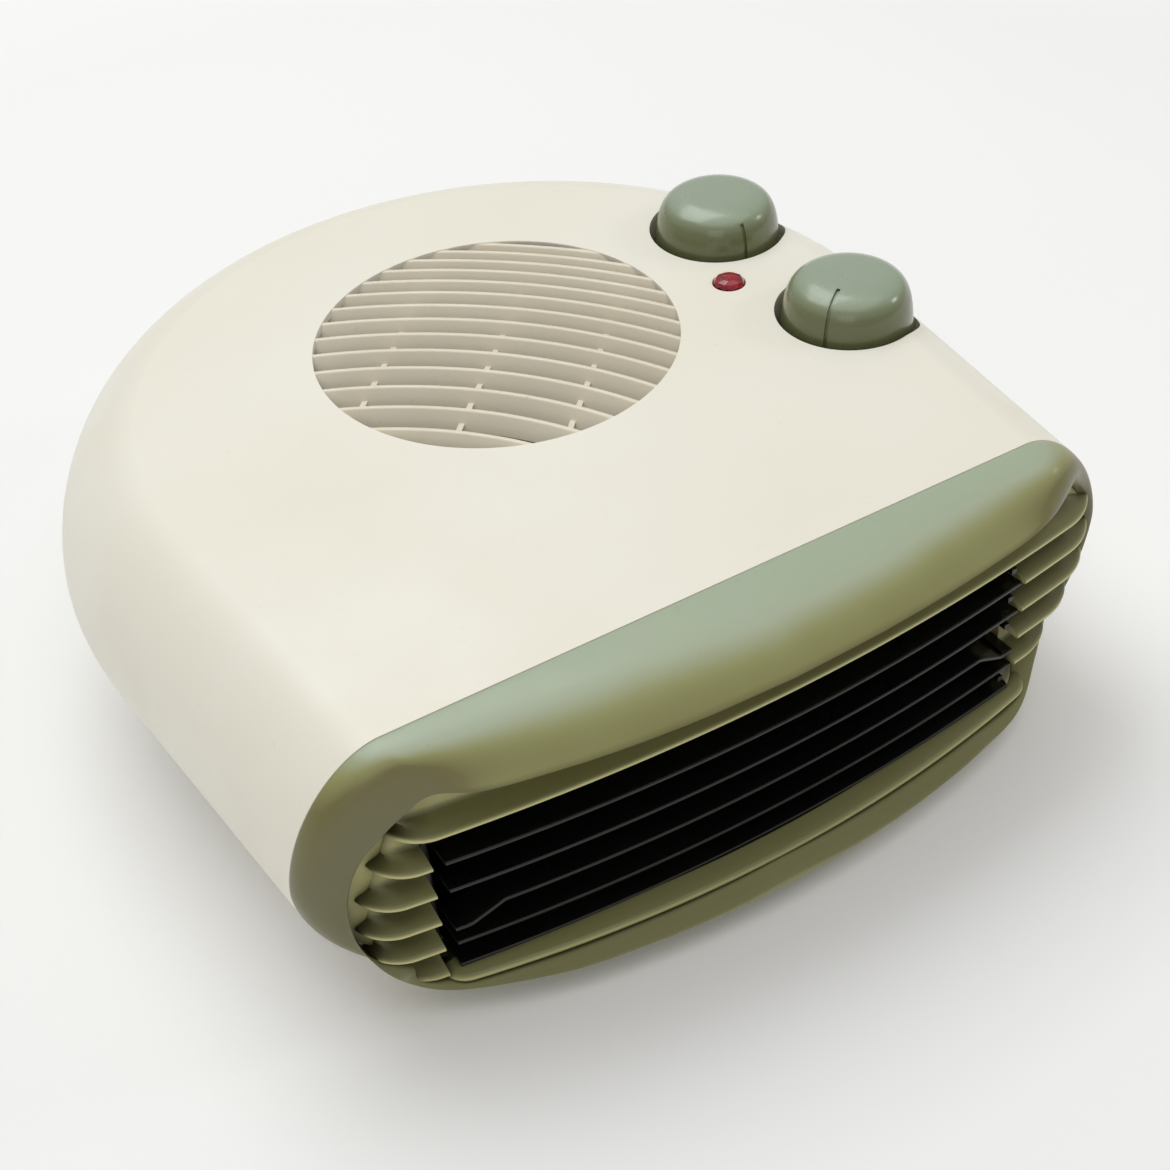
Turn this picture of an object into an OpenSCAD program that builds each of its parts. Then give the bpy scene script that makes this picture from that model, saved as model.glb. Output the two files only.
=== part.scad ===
/* [Body] */
// Width of the body, which is the diameter of its round back
body_w = 260; // [240:1:290]
// Depth of the body, from the front lip to the round back
body_d = 268; // [250:1:300]
// Height of the flat top above the surface it stands on
body_top = 86; // [84:0.5:96]
// Height of the underside above the surface it stands on
body_under = 7; // [5:0.5:9]
// Height at which the body is widest
waist_z = 50; // [46:0.5:54]
// Narrowing of each side from the widest place to the front edge of the cream shells
side_narrow = 10; // [6:0.5:14]
// Distance from the bottom lip back to the front edge of the cream shells
front_reach = 32.5; // [30:0.5:36]
// Reach of the rounded top edge, measured flat
edge_top_w = 27; // [20:0.5:32]
// Reach of the rounded bottom edge, measured flat
edge_bottom_w = 40; // [34:0.5:46]
// Fullness of the rounded edges, where 2 is an ellipse
edge_power = 1.75; // [1.6:0.05:2.2]
// Height of the joint between the top and base shells
parting_z = 26; // [24:0.5:30]
// Wall of the moulded shells
shell_wall = 2.4; // [2:0.1:3]

/* [Outlet front] */
// Distance from the bottom lip back to the hood's front edge
hood_back = 5; // [3:0.5:8]
// Bow of the hood's front edge, as a radius seen from above
hood_bow_r = 380; // [300:5:500]
// Roll of the hood from the flat top down to its edge
hood_roll_r = 48; // [44:1:70]
// Height of the hood's underside
hood_z = 71; // [70:0.5:73]
// Bow of the bottom lip, as a radius seen from above
lip_bow_r = 250; // [215:5:260]
// Height of the bottom lip's upper face
lip_z = 9.4; // [9.4:0.1:10]
// Rounding of the upright corners of the front, seen from above
cheek_r = 14; // [10:0.5:18]
// Distance from the bottom lip back to the front of the ribs
rib_back = 13.5; // [12:0.5:15]
// Bow of the ribs, as a radius seen from above
rib_bow_r = 600; // [450:10:650]
// Height of the top rib's lower edge
rib_top_z = 60; // [59:0.5:61]
// Height from one rib to the next
rib_pitch = 9.8; // [9.5:0.1:9.9]
// Number of short ribs at each end of the outlet window
rib_count = 5; // [4:1:5]
// Thickness of each rib at its front
rib_t = 1.8; // [1.4:0.1:2.6]
// Rise of each rib's upper face from its front back to the web
rib_rise = 3.2; // [2:0.1:4]
// Step from the front of the ribs back to the web between them
rib_step = 6; // [4:0.5:6.5]
// Thickness of the web between the ribs
web_t = 2; // [1.6:0.1:2.4]
// Step from the front edge of the cream shells' side in to the ribbed field
rib_side = 13; // [11:0.5:15]
// Step in from the body's outline to the ribbed field
rib_inset = 3; // [2:0.5:4]
// Step from the front edge of the cream shells' side in to the outlet window
window_side = 31; // [29:0.5:34]
// Height of the outlet window's bottom edge
window_low_z = 13; // [12.5:0.1:13.5]
// Distance that the low rib stands in front of the other ribs
low_rib_step = 6; // [4:0.5:8]
// Number of black slats across the outlet window
slat_count = 4; // [3:1:5]
// Thickness of each black slat
slat_t = 1.6; // [1.2:0.1:2]
// Depth of each black slat from front to back
slat_depth = 9; // [6:0.5:10]
// Distance from the ribs' front back to the black slats' front
slat_back = 1.5; // [1:0.5:3]

/* [Air intake] */
// Place of the intake and fan axis to the right of the middle
intake_x = 5.5; // [3:0.5:8]
// Place of the intake and fan axis behind the centre of the round back
intake_back = 17.5; // [14:0.5:20]
// Radius of the intake opening in the top shell
intake_r = 52; // [50:0.5:54]
// Width of the intake grille's rim
intake_rim = 2.2; // [1.8:0.1:3]
// Depth of the intake grille
intake_depth = 6; // [4:0.1:6]
// Number of blades across the intake
blade_count = 13; // [9:1:13]
// Direction that the blades' bow faces, in degrees from the right
blade_turn_deg = 46; // [40:1:52]
// Bow of the intake blades, as a radius seen from above
blade_bow_r = 150; // [130:1:170]
// Distance from the fan axis to the first blade
blade_first = 44.2; // [42:0.1:46]
// Distance from the first blade to the second
blade_step = 10; // [9:0.1:10.5]
// Shrinking of each further distance between the blades
blade_shrink = 0.45; // [0.4:0.01:0.5]
// Thickness of each intake blade
blade_t = 1.5; // [1.2:0.1:2]
// Slant of each intake blade, from its top to its foot
blade_slant = 3; // [1:0.1:3.5]
// Distance between the bridges that join the blades
bridge_gap = 29.5; // [26:0.5:32]
// Width of the bridges that join the blades
bridge_w = 2.4; // [2:0.1:3]

/* [Knobs and lamp] */
// Distance from the body's widest side in to the rear knob's axis
rear_knob_in = 40; // [39:0.5:41]
// Place of the rear knob behind the centre of the round back
rear_knob_back = 30.5; // [29:0.5:32]
// Distance from the body's widest side in to the front knob's axis
front_knob_in = 36; // [35:0.5:37]
// Place of the front knob in front of the centre of the round back
front_knob_fore = 29; // [27:0.5:31]
// Radius of the knobs
knob_r = 19.5; // [18.5:0.25:20]
// Height of the knobs above the flat top
knob_rise = 12.3; // [10:0.1:14]
// Radius of the knobs' rounded shoulder
knob_shoulder_r = 8.5; // [6:0.5:9.5]
// Drop of the knobs' crown from the middle to the shoulder
knob_crown = 1.6; // [1:0.1:2.4]
// Width of the pointer groove on the knobs
groove_w = 1.2; // [0.8:0.1:1.6]
// Depth of the pointer groove on the knobs
groove_depth = 0.9; // [0.5:0.1:1.2]
// Gap between a knob and the wall of its well
well_gap = 1.6; // [1:0.1:2]
// Depth of the knob wells below the flat top
well_depth = 14; // [13:0.5:15]
// Direction of the rear knob's pointer at rest, in degrees from the right
rear_pointer_deg = -73; // [-90:1:-60]
// Direction of the front knob's pointer at rest, in degrees from the right
front_pointer_deg = -128; // [-140:1:-110]
// Radius of the control spindles
spindle_r = 3; // [2.5:0.1:3.2]
// Distance from the body's widest side in to the indicator lens
lamp_in = 55; // [54:0.5:56]
// Place of the indicator lens behind the centre of the round back
lamp_back = 2.5; // [1:0.5:4]
// Radius of the indicator lens
lamp_r = 4.6; // [4:0.1:5]
// Height of the indicator lens above the flat top
lamp_rise = 2.2; // [1.5:0.1:3]

/* [Fan and motor] */
// Radius of the fan wheel
wheel_r = 53; // [50:0.5:54]
// Height of the fan wheel
wheel_h = 29; // [26:0.5:30]
// Number of blades on the fan wheel
vane_count = 28; // [20:1:32]
// Length of each fan blade along the radius
vane_len = 12; // [9:0.5:14]
// Thickness of each fan blade
vane_t = 1.2; // [1:0.1:1.5]
// Radius of the motor shaft
shaft_r = 2.5; // [2:0.1:3]
// Radius of the motor's rotor
rotor_r = 13; // [12:0.25:14]
// Height of the motor's core
core_h = 16; // [14:0.5:16]
// Width of the motor's core
core_w = 52; // [50:0.5:54]
// Height of the motor core's underside
core_z = 17; // [16.5:0.1:17.5]
// Height of the fan housing's floor
housing_z = 40; // [39.5:0.1:40.5]
// Wall of the fan housing
housing_wall = 2; // [1.6:0.1:2.4]
// Gap between the fan wheel and the housing's wall
housing_gap = 5.5; // [4:0.5:5.5]

/* [Heater] */
// Step from the outlet window's side in to the heater tray's side
tray_side = 3; // [2:0.5:8]
// Depth of the heater tray from front to back
tray_d = 46; // [40:1:48]
// Height of the heater tray's underside
tray_z = 14; // [13.5:0.5:15]
// Height of the heater tray
tray_h = 61; // [56:0.5:62]
// Sheet thickness of the heater tray
sheet_t = 0.8; // [0.6:0.1:1]
// Number of heating ribbon rows
ribbon_rows = 4; // [3:1:5]
// Number of mica cards across the heater
card_count = 5; // [4:1:7]
// Thickness of each mica card
mica_t = 1; // [0.6:0.1:1.2]

/* [Fastening] */
// Radius of the rubber feet
foot_r = 8; // [6:0.5:9]
// Distance from the body's widest side in to the feet
foot_in = 72; // [68:1:80]
// Distance from the front edge of the cream shells back to the front feet
foot_fore = 23.5; // [18:0.5:40]
// Place of the rear feet behind the centre of the round back
foot_back = 54; // [46:1:56]
// Radius of the screws that join the shells
screw_r = 1.75; // [1.5:0.05:2]
// Radius of the hole through the cord inlet
inlet_r = 3.75; // [3:0.25:4]
// Place of the cord inlet to the right of the middle
inlet_x = 40; // [36:1:44]
// Distance from the back of the body in to the cord inlet's seat
inlet_seat_in = 26; // [25:0.5:27]

/* [Clearances] */
// Radial clearance of a shaft or spindle that turns in its bore
run_gap = 0.05; // [0.03:0.01:0.08]
// Gap between a piece and the hole that it is fitted into
fit_gap = 0.2; // [0.1:0.05:0.3]
// Gap between neighbouring curved faces of different pieces
face_gap = 0.3; // [0.2:0.05:0.4]

/* [Hidden] */
$fn = 96;
eps = 0.01;
far = 400;

cream = [0.93, 0.91, 0.86];
cream_shade = [0.88, 0.86, 0.78];
sage = [0.58, 0.62, 0.50];
black = [0.05, 0.05, 0.05];
steel = [0.72, 0.73, 0.74];
brass = [0.78, 0.62, 0.30];
copper = [0.72, 0.42, 0.22];
mica = [0.78, 0.72, 0.58];
white_nylon = [0.92, 0.92, 0.90];

// Plan of the body: a round back and two sides that close in towards the front
back_r = body_w / 2;
back_y = body_d / 2 - back_r;
front_w = body_w - 2 * side_narrow;
lip_y = -body_d / 2;
front_y = lip_y + front_reach;
side_span = back_y - front_y;
side_tilt = atan2(side_span, front_w / 2)
    - acos(back_r / sqrt(side_span * side_span + front_w * front_w / 4));
edge_steps = 10;

// What stands on the top, and the fan's axis under it
intake_y = back_y + intake_back;
rear_knob_x = back_r - rear_knob_in;
rear_knob_y = back_y + rear_knob_back;
front_knob_x = back_r - front_knob_in;
front_knob_y = back_y - front_knob_fore;
lamp_x = back_r - lamp_in;
lamp_y = back_y + lamp_back;

// Front surfaces, all as places along the depth at the middle of the width
hood_y = lip_y + hood_back;
rib_y = lip_y + rib_back;
rib_half_w = front_w / 2 - rib_side;
front_half_w = front_w / 2 - 1;
window_half_w = front_w / 2 - window_side;
tray_half_w = window_half_w - tray_side;
low_rib_y = rib_y - low_rib_step;
rib_back_y = front_y - face_gap;
window_top_z = rib_top_z;

// Heights of what is held under the top
well_r = knob_r + well_gap;
well_z = body_top - well_depth;
inner_top_z = body_top - shell_wall;
inner_floor_z = body_under + shell_wall;
knob_low_z = well_z + 2;
knob_top_z = body_top + knob_rise;
knob_hollow_r = 10;
knob_hollow_h = 5;
neck_r = spindle_r + 1.8;
spindle_top_z = knob_top_z - 7;
nut_h = 1.8;
ledge_z = inner_top_z - 2;
grille_r = intake_r - fit_gap;
grille_open_r = grille_r - intake_rim;
blade_top_z = body_top - 0.4;
blade_foot_z = body_top - intake_depth;

// Heights of the fan and the motor
floor_top_z = housing_z + housing_wall;
wheel_z = floor_top_z + 3.5;
vane_z = wheel_z + 1.6;
wheel_top_z = wheel_z + wheel_h;
housing_r = wheel_r + housing_gap;
housing_top_z = wheel_top_z + 3;
plate_t = 1.6;
core_top_z = core_z + core_h;
bracket_t = 1.6;
lower_bracket_z = core_z - 5;
upper_bracket_z = housing_z - 2 - bracket_t;
bush_r = 5;
bush_h = 3.6;
hub_r = 6;
hub_h = 13;
wheel_nut_h = 4;
motor_screw_r = 1.5;
motor_screw_x = core_w / 2 - 5;
leg_y = 36.5;
leg_w = 13;
coil_window = 12;
coil_len = 26;
bobbin_wall = 1.2;
tray_front_y = front_y + 1;
pad_in = 8;
throat_y = tray_front_y + tray_d + 3;
throat_half_w = tray_half_w - 20;

// Screws, posts and their places
screw_head_r = 3.4;
screw_head_h = 2.2;
boss_r = 4.6;
screw_seat_z = 20;
case_screw_len = 18;
case_screw_in = 26;
case_screw_places = [
    [back_r - case_screw_in, front_y + 21], [case_screw_in - back_r, front_y + 21],
    [back_r * 0.62, back_y + back_r * 0.55], [-back_r * 0.62, back_y + back_r * 0.55],
    [0, body_d / 2 - case_screw_in + 2]
];
post_r = 4;
post_offset = 37;
post_places = [for (sx = [-1, 1], sy = [-1, 1]) [intake_x + sx * post_offset, intake_y + sy * post_offset]];
pad_places = [
    for (s = [-1, 1], d = [pad_in, tray_d - pad_in])
        [s * (tray_half_w - 2 * pad_in), tray_front_y + d]
];
foot_places = [
    for (s = [-1, 1], y = [front_y + foot_fore, back_y + foot_back])
        [s * (back_r - foot_in), y]
];

// Cord inlet and its clamp
inlet_z = 18;
inlet_seat_y = body_d / 2 - inlet_seat_in;
inlet_flange_r = inlet_r + 4.3;
inlet_barrel_r = inlet_r + 2.2;
inlet_flange_t = 2.4;
inlet_in = 9;
inlet_out = 7;
clamp_y = inlet_seat_y - 18;
clamp_half_w = 9;
clamp_z = inlet_z + inlet_r;
terminal_x = intake_x + wheel_r - 3;
terminal_y = intake_y + 8;

// One corner of the rounded section, as a quarter of a full ellipse-like curve
function quarter(a, b, steps) = [
    for (i = [0:steps])
        let (q = 90 * i / steps)
        [a * pow(cos(q), 2 / edge_power), b * pow(sin(q), 2 / edge_power)]
];

// Half of the body's section, from its middle line out to its edge
function section_points(inset) =
    let (
        top_q = quarter(edge_top_w - inset, body_top - waist_z - inset, edge_steps),
        low_q = quarter(edge_bottom_w - inset, waist_z - body_under - inset, edge_steps)
    )
    concat(
        [[0, body_under + inset]],
        [for (i = [edge_steps:-1:0]) [back_r - edge_bottom_w + low_q[i][0], waist_z - low_q[i][1]]],
        [for (i = [1:edge_steps]) [back_r - edge_top_w + top_q[i][0], waist_z + top_q[i][1]]],
        [[0, body_top - inset]]
    );

// The whole rounded body, drawn in by an inset, running on past the front
module body_solid(inset) {
    translate([0, back_y, 0]) {
        rotate([0, 0, -side_tilt])
            rotate_extrude(angle = 180 + 2 * side_tilt)
                polygon(section_points(inset));
        for (side = [0, 1])
            mirror([side, 0, 0])
                rotate([0, 0, -side_tilt])
                    rotate([90, 0, 0])
                        linear_extrude(height = body_d)
                            polygon(section_points(inset));
    }
}

// A box between two depths and two heights, as wide as needed
module band(y_low, y_high, z_low, z_high, half_w = far) {
    translate([-half_w, y_low, z_low])
        cube([2 * half_w, y_high - y_low, z_high - z_low]);
}

// An upright drum whose front touches a depth, for bowed fronts
module bow_drum(y_front, bow_r, z_low, z_high) {
    translate([0, y_front + bow_r, z_low])
        cylinder(h = z_high - z_low, r = bow_r, $fn = 240);
}

// A tube along a line between two points
module rod(a, b, r, sides = 8) {
    d = b - a;
    len = norm(d);
    translate(a)
        rotate([0, acos(d[2] / len), atan2(d[1], d[0])])
            cylinder(h = len, r = r, $fn = sides);
}

module knob_wells(r, z_low) {
    for (p = [[rear_knob_x, rear_knob_y], [front_knob_x, front_knob_y]])
        translate([p[0], p[1], z_low])
            cylinder(h = far, r = r);
}

module top_shell() {
    color(cream)
    difference() {
        union() {
            difference() {
                intersection() {
                    body_solid(0);
                    band(front_y, far, parting_z, far);
                }
                body_solid(shell_wall);
            }
            intersection() {
                union() {
                    knob_wells(well_r + shell_wall, well_z - shell_wall);
                    for (p = case_screw_places)
                        translate([p[0], p[1], parting_z])
                            cylinder(h = far, r = boss_r);
                    translate([lamp_x, lamp_y, inner_top_z - 4])
                        cylinder(h = far, r = lamp_r + 2);
                }
                body_solid(shell_wall / 2);
                band(front_y, far, parting_z, far);
            }
            translate([intake_x, intake_y, ledge_z])
                difference() {
                    cylinder(h = inner_top_z - ledge_z + eps, r = intake_r + 2.5);
                    translate([0, 0, -eps])
                        cylinder(h = far, r = grille_open_r + face_gap);
                }
        }
        translate([intake_x, intake_y, inner_top_z])
            cylinder(h = far, r = intake_r);
        knob_wells(well_r, well_z);
        knob_wells(neck_r + fit_gap, 0);
        translate([lamp_x, lamp_y, 0])
            cylinder(h = far, r = lamp_r + fit_gap);
        for (p = case_screw_places)
            translate([p[0], p[1], 0])
                cylinder(h = screw_seat_z + case_screw_len + 2, r = screw_r + fit_gap);
    }
}

module base_shell() {
    color(cream)
    difference() {
        union() {
            difference() {
                intersection() {
                    body_solid(0);
                    band(front_y, far, 0, parting_z);
                }
                body_solid(shell_wall);
            }
            intersection() {
                union() {
                    for (p = case_screw_places)
                        translate([p[0], p[1], 0])
                            cylinder(h = parting_z, r = boss_r + 1);
                    for (p = post_places)
                        translate([p[0], p[1], 0])
                            cylinder(h = parting_z, r = post_r);
                    translate([inlet_x, inlet_seat_y - inlet_in, inlet_z])
                        rotate([-90, 0, 0])
                            cylinder(h = far, r = inlet_barrel_r + 3);
                    for (s = [-1, 1])
                        translate([inlet_x + s * clamp_half_w, clamp_y, 0])
                            cylinder(h = clamp_z, r = 3.4);
                    translate([inlet_x - 5, clamp_y - 4, 0])
                        cube([10, 8, inlet_z - inlet_r]);
                    for (p = pad_places)
                        translate([p[0], p[1], 0])
                            cylinder(h = tray_z, r = post_r);
                }
                body_solid(shell_wall / 2);
                band(front_y, far, 0, parting_z);
            }
            for (p = post_places)
                translate([p[0], p[1], parting_z - 1])
                    cylinder(h = housing_z - parting_z + 1, r = post_r);
        }
        for (p = case_screw_places)
            translate([p[0], p[1], -eps]) {
                cylinder(h = far, r = screw_r + fit_gap);
                cylinder(h = screw_seat_z, r = screw_head_r + 0.6);
            }
        for (p = post_places)
            translate([p[0], p[1], housing_z - 10])
                cylinder(h = far, r = motor_screw_r + fit_gap);
        for (p = foot_places)
            translate([p[0], p[1], 0])
                cylinder(h = far, r = foot_r / 3 + fit_gap);
        translate([inlet_x, 0, inlet_z])
            rotate([-90, 0, 0])
                cylinder(h = far, r = inlet_barrel_r + fit_gap);
        translate([inlet_x, inlet_seat_y, inlet_z])
            rotate([-90, 0, 0])
                cylinder(h = far, r = inlet_flange_r + fit_gap);
        for (s = [-1, 1])
            translate([inlet_x + s * clamp_half_w, clamp_y, inlet_z - 4])
                cylinder(h = far, r = 1.2 + fit_gap);
    }
}

// Plan of a bowed front with rounded upright corners, drawn in by an inset
module cornered_plan(y_front, bow_r, half_w, inset) {
    corner_x = half_w - cheek_r;
    corner_y = y_front + bow_r - sqrt(bow_r * bow_r - corner_x * corner_x) + cheek_r;
    for (s = [-1, 1])
        translate([s * corner_x, corner_y])
            circle(r = cheek_r - inset);
    translate([-corner_x, y_front + inset])
        square([2 * corner_x, far]);
    translate([inset - half_w, corner_y])
        square([2 * (half_w - inset), far]);
}

// The hood's outer form, drawn in by an inset
module hood_form(inset) {
    intersection() {
        body_solid(inset);
        bow_drum(hood_y + inset, hood_bow_r, 0, far);
        linear_extrude(height = far)
            cornered_plan(hood_y, hood_bow_r, front_half_w, inset);
        translate([-far, front_y, body_top - hood_roll_r])
            rotate([0, 90, 0])
                cylinder(h = 2 * far, r = hood_roll_r - inset, $fn = 160);
    }
}

// The upright front wall round the ribs, between two insets
module front_form(inset) {
    intersection() {
        body_solid(inset);
        bow_drum(rib_y + inset, rib_bow_r, 0, far);
        linear_extrude(height = far)
            cornered_plan(rib_y, rib_bow_r, front_half_w, inset);
    }
}

module front_bezel() {
    color(sage)
    union() {
        difference() {
            hood_form(0);
            band(-far, far, -far, hood_z);
            band(front_y, far, -far, far);
            intersection() {
                hood_form(shell_wall);
                band(-far, far, hood_z + shell_wall, far);
            }
        }
        difference() {
            front_form(0);
            band(front_y, far, -far, far);
            band(-far, far, hood_z, far);
            band(-far, far, -far, lip_z);
            intersection() {
                body_solid(rib_inset);
                band(-far, far, -far, far, rib_half_w);
            }
        }
        difference() {
            intersection() {
                body_solid(0);
                bow_drum(lip_y, lip_bow_r, 0, far);
                linear_extrude(height = far)
                    cornered_plan(lip_y, lip_bow_r, rib_half_w - cheek_r, 0);
            }
            band(front_y, far, -far, far);
            band(-far, far, lip_z, far);
        }
    }
}

// The ribbed field behind the hood, as one block whose front is stepped back
module rib_field(step_back, z_low, z_high) {
    intersection() {
        body_solid(rib_inset + face_gap);
        bow_drum(rib_y + step_back, rib_bow_r, 0, far);
        band(-far, rib_back_y, z_low, z_high, rib_half_w - face_gap);
    }
}

// One rib with a bowed front edge and an upper face that rises towards the web
module rib(y_front, bow_r, z, depth) {
    rise = rib_rise * depth / rib_step;
    intersection() {
        body_solid(rib_inset + face_gap);
        band(-far, rib_back_y, 0, far, rib_half_w - face_gap);
        translate([0, y_front + bow_r, z])
            rotate_extrude($fn = 240)
                polygon([
                    [bow_r - depth - 1, 0], [bow_r, 0], [bow_r, rib_t],
                    [bow_r - depth - 1, rib_t + rise]
                ]);
    }
}

module outlet_grille() {
    field_top = hood_z - face_gap;
    field_low = lip_z + 0.2;
    color(sage)
    difference() {
        union() {
            rib_field(rib_step, field_low, field_top);
            for (i = [0:rib_count])
                rib(rib_y, rib_bow_r, rib_top_z - i * rib_pitch, rib_step);
            rib(low_rib_y, rib_bow_r / 1.6, field_low, rib_step + low_rib_step);
        }
        band(-far, far, window_low_z, window_top_z, window_half_w);
        intersection() {
            bow_drum(rib_y + rib_step + web_t, rib_bow_r, field_low + rib_t, field_top - rib_t);
            body_solid(rib_inset + web_t);
        }
    }
}

module outlet_guard() {
    guard_half_w = window_half_w - face_gap;
    guard_low = window_low_z + face_gap;
    guard_high = window_top_z - face_gap;
    slat_y = rib_y + slat_back;
    back_y_place = slat_y + slat_depth + 7;
    color(black)
    intersection() {
        union() {
            for (i = [1:slat_count])
                difference() {
                    bow_drum(slat_y, rib_bow_r, rib_top_z - i * rib_pitch - slat_t, rib_top_z - i * rib_pitch);
                    bow_drum(slat_y + slat_depth, rib_bow_r, 0, far);
                }
            difference() {
                bow_drum(slat_y + 2.5, rib_bow_r, guard_low, guard_high);
                bow_drum(slat_y + slat_depth, rib_bow_r, 0, far);
                band(-far, far, guard_low + slat_t, guard_high - slat_t, guard_half_w - 3);
            }
        }
        band(-far, back_y_place, guard_low, guard_high, guard_half_w);
    }
}

// Place of an intake blade along the direction of the bow, from the fan axis
function blade_place(i) = i * blade_step - blade_first - blade_shrink * i * (i - 1) / 2;

module intake_grille() {
    h = blade_top_z - blade_foot_z;
    sweep = 70;
    color(cream_shade)
    translate([intake_x, intake_y, 0]) {
        difference() {
            translate([0, 0, inner_top_z])
                cylinder(h = shell_wall, r = grille_r);
            cylinder(h = far, r = grille_open_r);
        }
        intersection() {
            translate([0, 0, blade_foot_z])
                cylinder(h = far, r = grille_open_r + eps);
            rotate([0, 0, blade_turn_deg - 90])
                union() {
                    for (i = [0:blade_count - 1])
                        translate([0, -blade_bow_r, blade_foot_z])
                            rotate([0, 0, 90 - sweep / 2])
                                rotate_extrude(angle = sweep)
                                    translate([blade_bow_r + blade_place(i) - blade_slant, 0])
                                        polygon([[0, 0], [blade_t, 0], [blade_t + blade_slant, h], [blade_slant, h]]);
                    for (s = [-1, 0, 1])
                        translate([s * bridge_gap - bridge_w / 2, -far, blade_foot_z])
                            cube([bridge_w, 2 * far, h * 0.6]);
                }
        }
    }
}

module rubber_feet() {
    color(black)
    for (p = foot_places)
        translate([p[0], p[1], 0]) {
            cylinder(h = body_under, r = foot_r);
            cylinder(h = inner_floor_z + 1, r = foot_r / 3);
            translate([0, 0, inner_floor_z + eps])
                cylinder(h = 1.6, r = foot_r / 2);
        }
}

// A screw that stands on its head, with its length measured from the seat
module screw(len, r, head_r, head_h) {
    translate([0, 0, -head_h])
        difference() {
            cylinder(h = head_h, r = head_r);
            for (a = [0, 90])
                rotate([0, 0, a])
                    translate([-head_r * 0.6, -0.4, -eps])
                        cube([head_r * 1.2, 0.8, head_h / 2]);
        }
    cylinder(h = len, r = r);
}

module case_screws() {
    color(steel)
    for (p = case_screw_places)
        translate([p[0], p[1], screw_seat_z])
            screw(case_screw_len, screw_r, screw_head_r, screw_head_h);
}

// Plan of the fan housing: round behind, opening into a throat in front
module housing_plan(inset) {
    r = housing_r + housing_wall - inset;
    half = throat_half_w + housing_wall - inset;
    union() {
        translate([intake_x, intake_y])
            circle(r = r);
        polygon([
            [intake_x - r, intake_y], [-half, throat_y], [half, throat_y], [intake_x + r, intake_y]
        ]);
    }
}

module fan_housing() {
    color(white_nylon)
    difference() {
        union() {
            translate([0, 0, housing_z])
                linear_extrude(height = housing_wall)
                    housing_plan(0);
            translate([0, 0, housing_z])
                linear_extrude(height = housing_top_z - housing_z)
                    difference() {
                        housing_plan(0);
                        housing_plan(housing_wall);
                        translate([-far, throat_y - far])
                            square([2 * far, far + eps]);
                    }
            for (s = [-1, 1])
                translate([intake_x + s * motor_screw_x, intake_y, housing_z - 2])
                    cylinder(h = 3, r = 4);
        }
        translate([intake_x, intake_y, 0])
            cylinder(h = far, r = bush_r + 3);
        for (s = [-1, 1])
            translate([intake_x + s * motor_screw_x, intake_y, 0])
                cylinder(h = far, r = motor_screw_r + fit_gap);
        for (p = post_places)
            translate([p[0], p[1], 0])
                cylinder(h = far, r = motor_screw_r + fit_gap);
    }
}

module inlet_plate() {
    color(white_nylon)
    translate([0, 0, housing_top_z])
        difference() {
            linear_extrude(height = plate_t)
                housing_plan(0);
            translate([intake_x, intake_y, -eps])
                cylinder(h = far, r = wheel_r - vane_len + 3);
        }
}

module housing_screws() {
    color(steel)
    for (p = post_places)
        translate([p[0], p[1], floor_top_z])
            rotate([180, 0, 0])
                screw(housing_wall + 8, motor_screw_r, 3, 1.8);
}

module fan_wheel() {
    color(black)
    translate([intake_x, intake_y, 0])
        difference() {
            union() {
                translate([0, 0, wheel_z])
                    cylinder(h = vane_z - wheel_z, r = wheel_r);
                translate([0, 0, wheel_z])
                    cylinder(h = hub_h, r = hub_r);
                translate([0, 0, wheel_top_z - 2])
                    difference() {
                        cylinder(h = 2, r = wheel_r);
                        translate([0, 0, -eps])
                            cylinder(h = far, r = wheel_r - 3);
                    }
                for (i = [0:vane_count - 1])
                    rotate([0, 0, 360 * i / vane_count])
                        translate([wheel_r - vane_len - 0.5, 0, vane_z - 0.5])
                            rotate([0, 0, 25])
                                cube([vane_len, vane_t, wheel_top_z - vane_z - 0.5]);
            }
            cylinder(h = far, r = shaft_r + run_gap / 2);
        }
}

module wheel_nut() {
    color(brass)
    translate([intake_x, intake_y, wheel_z + hub_h])
        difference() {
            cylinder(h = wheel_nut_h, r = shaft_r + 2.4, $fn = 6);
            translate([0, 0, -eps])
                cylinder(h = far, r = shaft_r + run_gap / 2);
        }
}

module motor_shaft() {
    low = lower_bracket_z - 1;
    color(steel)
    translate([intake_x, intake_y, low])
        cylinder(h = wheel_z + hub_h + wheel_nut_h + 2 - low, r = shaft_r);
}

module rotor() {
    color(steel)
    translate([intake_x, intake_y, core_z])
        difference() {
            cylinder(h = core_h, r = rotor_r);
            translate([0, 0, -eps])
                cylinder(h = far, r = shaft_r + run_gap / 2);
        }
}

module motor_screw_holes() {
    for (s = [-1, 1])
        translate([s * motor_screw_x, 0, 0])
            cylinder(h = far, r = motor_screw_r + fit_gap);
}

module stator_core() {
    low_y = -rotor_r - 10;
    back_edge = leg_y + leg_w;
    color(steel)
    translate([intake_x, intake_y, 0])
        difference() {
            translate([-core_w / 2, low_y, core_z])
                cube([core_w, back_edge - low_y, core_h]);
            cylinder(h = far, r = rotor_r + 0.4);
            translate([-core_w / 2 + 9, leg_y - coil_window, 0])
                cube([core_w - 18, coil_window, far]);
            motor_screw_holes();
        }
}

// A square tube round the core's back leg
module leg_sleeve(gap, wall, len) {
    translate([-len / 2, leg_y + leg_w / 2 - (leg_w / 2 + gap + wall), core_z - gap - wall])
        difference() {
            cube([len, leg_w + 2 * (gap + wall), core_h + 2 * (gap + wall)]);
            translate([-eps, wall, wall])
                cube([len + 1, leg_w + 2 * gap, core_h + 2 * gap]);
        }
}

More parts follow.
